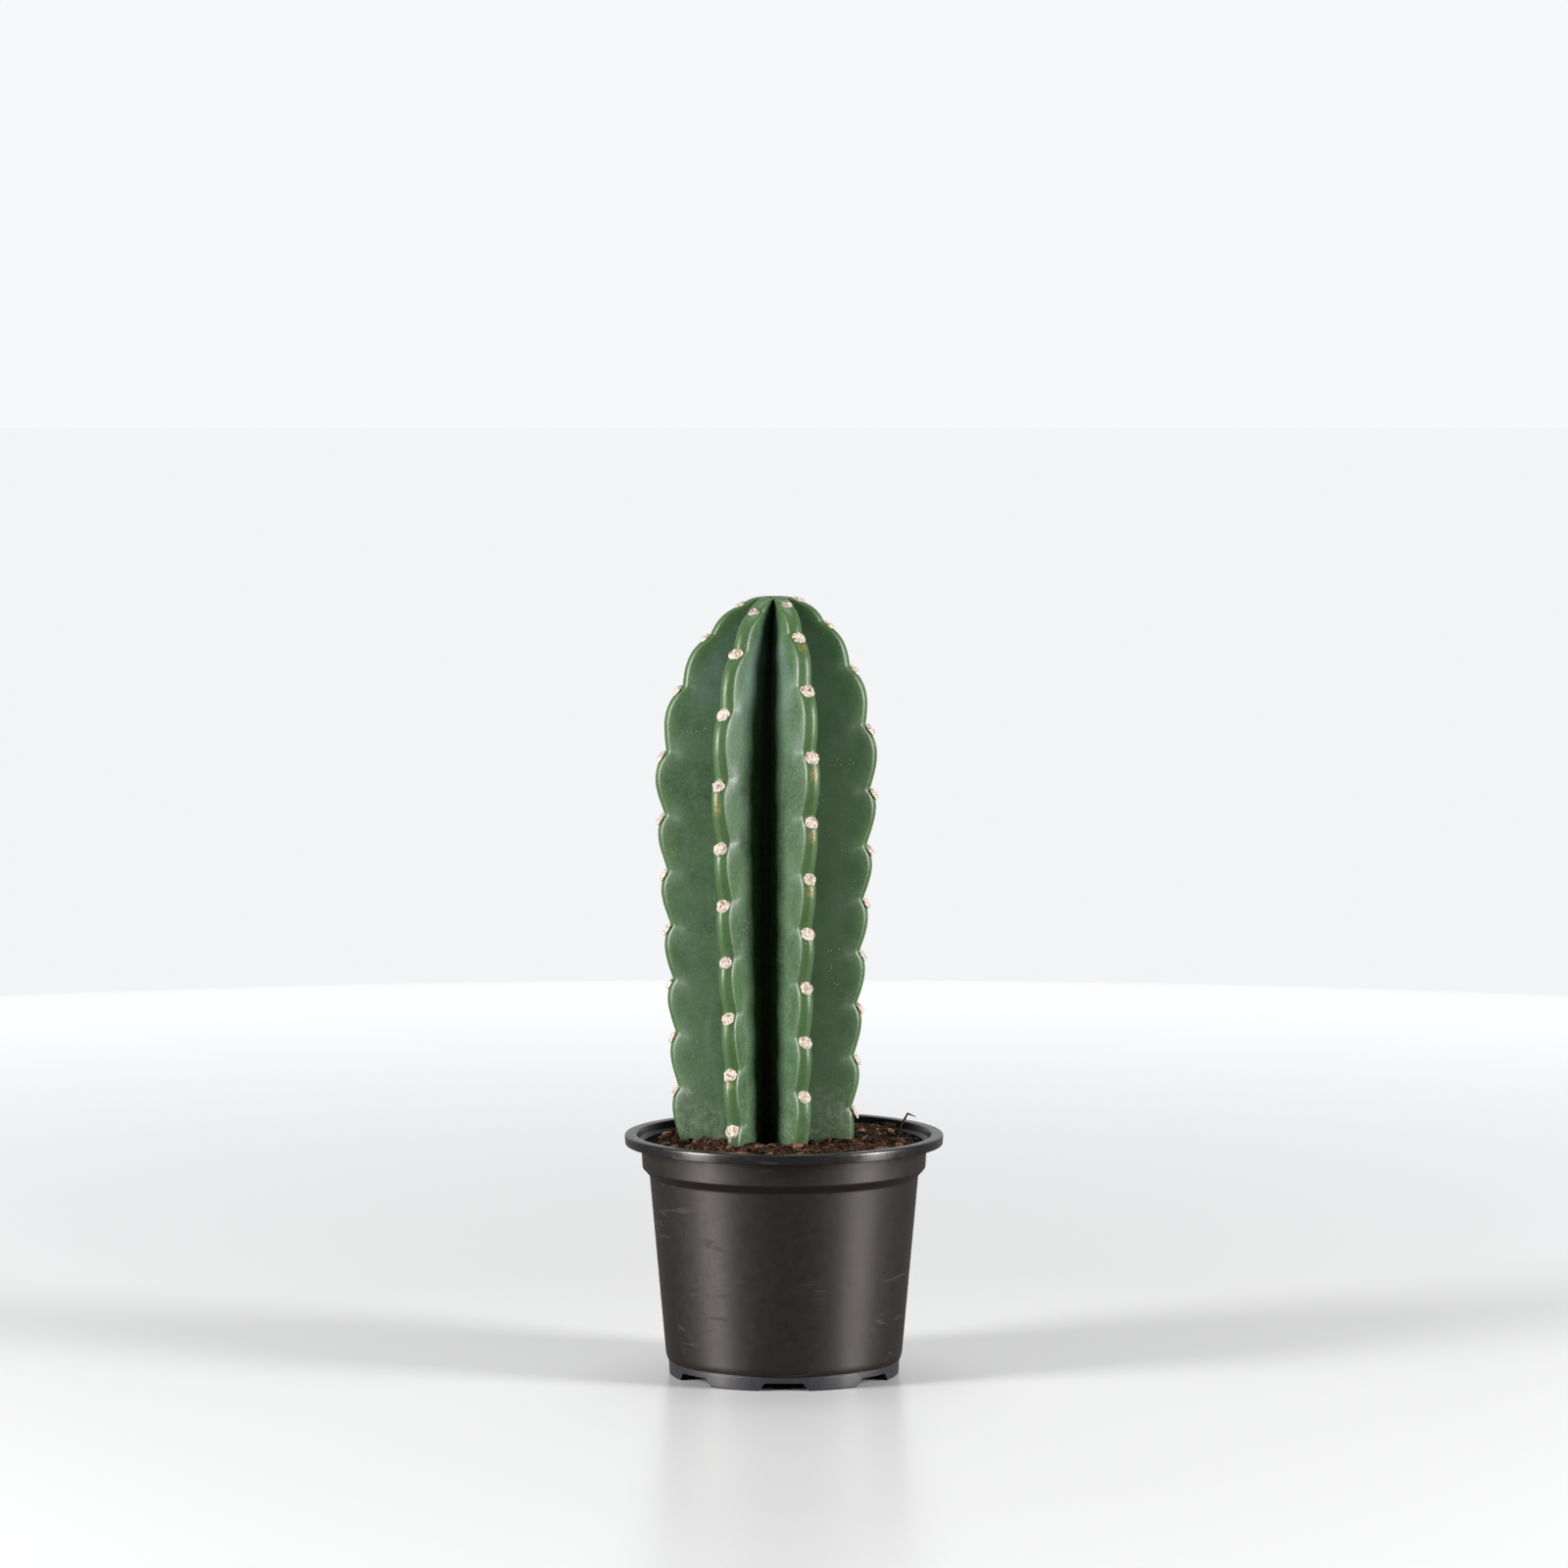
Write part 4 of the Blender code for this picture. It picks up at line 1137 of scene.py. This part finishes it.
def build_twig(material):
    """A dry twig that follows the CAD model's, with knots and a torn, hooked end."""
    _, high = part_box("dry_twig")
    rise = Vector((6.4 * MM, 2.0 * MM, 11.6 * MM))
    hook = Vector((4.0 * MM, 1.0 * MM, -1.8 * MM))
    kink = Vector((high.x - hook.x, high.y - hook.y - 0.2 * MM, high.z - 0.6 * MM))
    foot = kink - rise
    buried = foot - rise.normalized() * 6 * MM
    tip = kink + hook
    # Points along the twig, with its radius in millimetres at each.
    corners = [
        (buried, 0.60),
        (foot, 0.58),
        (foot.lerp(kink, 0.5), 0.5),
        (kink, 0.44),
        (kink.lerp(tip, 0.4), 0.34),
        (tip, 0.12),
    ]
    route = []
    for (a, ra), (b, rb) in zip(corners, corners[1:]):
        for k in range(8):
            route.append((a.lerp(b, k / 8), ra + (rb - ra) * k / 8))
    route.append(corners[-1])
    sides = 9
    verts, faces = [], []
    for i, (point, radius) in enumerate(route):
        way = (route[min(i + 1, len(route) - 1)][0] - route[max(i - 1, 0)][0]).normalized()
        side = way.cross(Vector((0, 1, 0))).normalized()
        other = way.cross(side)
        wander_y = noise.noise(point * 260 + Vector((5, 0, 0)))
        wander = Vector((noise.noise(point * 260), wander_y, 0)) * 0.35 * MM
        for k in range(sides):
            angle = math.tau * k / sides
            knot = 1 + 0.35 * noise.noise(point * 420 + Vector((0, 0, k * 0.9)))
            around = side * math.cos(angle) + other * math.sin(angle)
            verts.append(point + wander + around * radius * 1.2 * knot * MM)
    for i in range(len(route) - 1):
        for k in range(sides):
            a, b = i * sides, (i + 1) * sides
            faces.append((a + k, a + (k + 1) % sides, b + (k + 1) % sides, b + k))
    faces.append(tuple(reversed(range(sides))))
    faces.append(tuple((len(route) - 1) * sides + k for k in range(sides)))
    twig = mesh_object("bent_twig", verts, faces, material)
    return finish_piece(twig, "dry_bark", "dry_twig")


# ---------------------------------------------------------------- studio
def aim(obj, target):
    obj.rotation_euler = (target - obj.location).to_track_quat("-Z", "Y").to_euler()


def build_camera():
    camera = bpy.data.cameras.new("camera")
    camera.sensor_width = SENSOR_WIDTH
    camera.lens = SENSOR_WIDTH * CAMERA_DISTANCE / FRAME_WIDTH
    camera.clip_end = 60
    obj = link(bpy.data.objects.new("camera", camera))
    elevation = math.radians(CAMERA_ELEVATION)
    obj.location = CAMERA_TARGET + Vector((0, -math.cos(elevation), math.sin(elevation))) * CAMERA_DISTANCE
    aim(obj, CAMERA_TARGET)
    bpy.context.scene.camera = obj


def softbox(name, azimuth, distance, height, width, tall, power):
    light = bpy.data.lights.new(name, "AREA")
    light.shape = "RECTANGLE"
    light.size = width
    light.size_y = tall
    light.energy = power
    obj = link(bpy.data.objects.new(name, light))
    obj.visible_camera = False
    obj.location = direction(azimuth) * distance + Vector((0, 0, height))
    aim(obj, LIGHT_TARGET)


def build_floor():
    """A pale floor that fades into the backdrop. Seen by the camera it is paler than what it bounces."""
    g = Graph("pale_floor")
    far = g.fit(g.reach(), 0.35, 1.7)
    seen = g.tree.nodes.new("ShaderNodeLightPath").outputs["Is Camera Ray"]
    near = g.mix(seen, (0.12, 0.09, 0.075), (0.72, 0.72, 0.72))
    g.set(
        Base_Color=g.mix(far, near, (0.0, 0.0, 0.0)),
        Roughness=0.28,
        Specular_IOR_Level=g.times(g.math("SUBTRACT", 1.0, far), 0.5),
        Emission_Color=(0.90, 0.91, 0.925),
        Emission_Strength=g.times(far, g.fit(seen, 0.0, 1.0, 0.1, 1.0)),
    )
    size = FLOOR_SIZE
    corners = [(-size, -size, 0), (size, -size, 0), (size, size, 0), (-size, size, 0)]
    mesh_object("floor", corners, [(0, 1, 2, 3)], g.material)


def build_world():
    """A pale backdrop that lights the object from behind and very little from the front."""
    world = bpy.data.worlds.new("studio")
    world.use_nodes = True
    tree = world.node_tree
    background = tree.nodes["Background"]
    background.inputs["Color"].default_value = (0.93, 0.94, 0.955, 1)
    seen = tree.nodes.new("ShaderNodeLightPath").outputs["Is Camera Ray"]
    coordinates = tree.nodes.new("ShaderNodeTexCoord").outputs["Generated"]
    parts = tree.nodes.new("ShaderNodeSeparateXYZ")
    tree.links.new(coordinates, parts.inputs[0])
    behind = tree.nodes.new("ShaderNodeMapRange")
    behind.interpolation_type = "SMOOTHSTEP"
    tree.links.new(parts.outputs["Y"], behind.inputs["Value"])
    ends = {"From Min": 0.45, "From Max": 0.95, "To Min": FRONT_FILL, "To Max": BACK_FILL}
    for name, value in ends.items():
        behind.inputs[name].default_value = value
    strength = tree.nodes.new("ShaderNodeMix")
    tree.links.new(seen, strength.inputs["Factor"])
    tree.links.new(behind.outputs["Result"], strength.inputs["A"])
    strength.inputs["B"].default_value = 1.0
    tree.links.new(strength.outputs["Result"], background.inputs["Strength"])
    bpy.context.scene.world = world


def build_studio():
    build_floor()
    build_world()
    bpy.context.scene.view_settings.view_transform = "Standard"
    softbox("softbox_left", -65, 2.2, 0.62, 0.62, 1.5, SIDE_POWER)
    softbox("softbox_right", 69, 2.2, 0.62, 0.62, 1.5, 0.92 * SIDE_POWER)
    softbox("top_light", 180, 0.5, 2.4, 1.2, 1.2, TOP_POWER)


def main():
    build_camera()
    build_studio()
    build_stem(skin_material())
    wool = wool_material()
    for index in range(len(RIBS)):
        build_rib_wool(index, wool)
    build_tip_wool(wool)
    build_pot(plastic_material())
    build_soil(soil_material())
    outline = stem_outline()
    dark, red, tan = (0.011, 0.0055, 0.0035), (0.055, 0.024, 0.013), (0.26, 0.14, 0.085)
    crumbs = crumb_material("soil_crumb", dark, red, tan)
    build_crumbs("fine_crumbs", 1500, (0.45 * MM, 1.2 * MM), 1, 3, outline, crumbs)
    build_crumbs("large_crumbs", 300, (1.0 * MM, 2.9 * MM), 2, 4, outline, crumbs)
    dark, red, tan = (0.05, 0.022, 0.012), (0.16, 0.075, 0.04), (0.36, 0.22, 0.13)
    fibres = crumb_material("coir_fibre", dark, red, tan)
    build_fibres(1100, outline, fibres)
    build_chips(coir_material())
    build_twig(bark_material())


main()
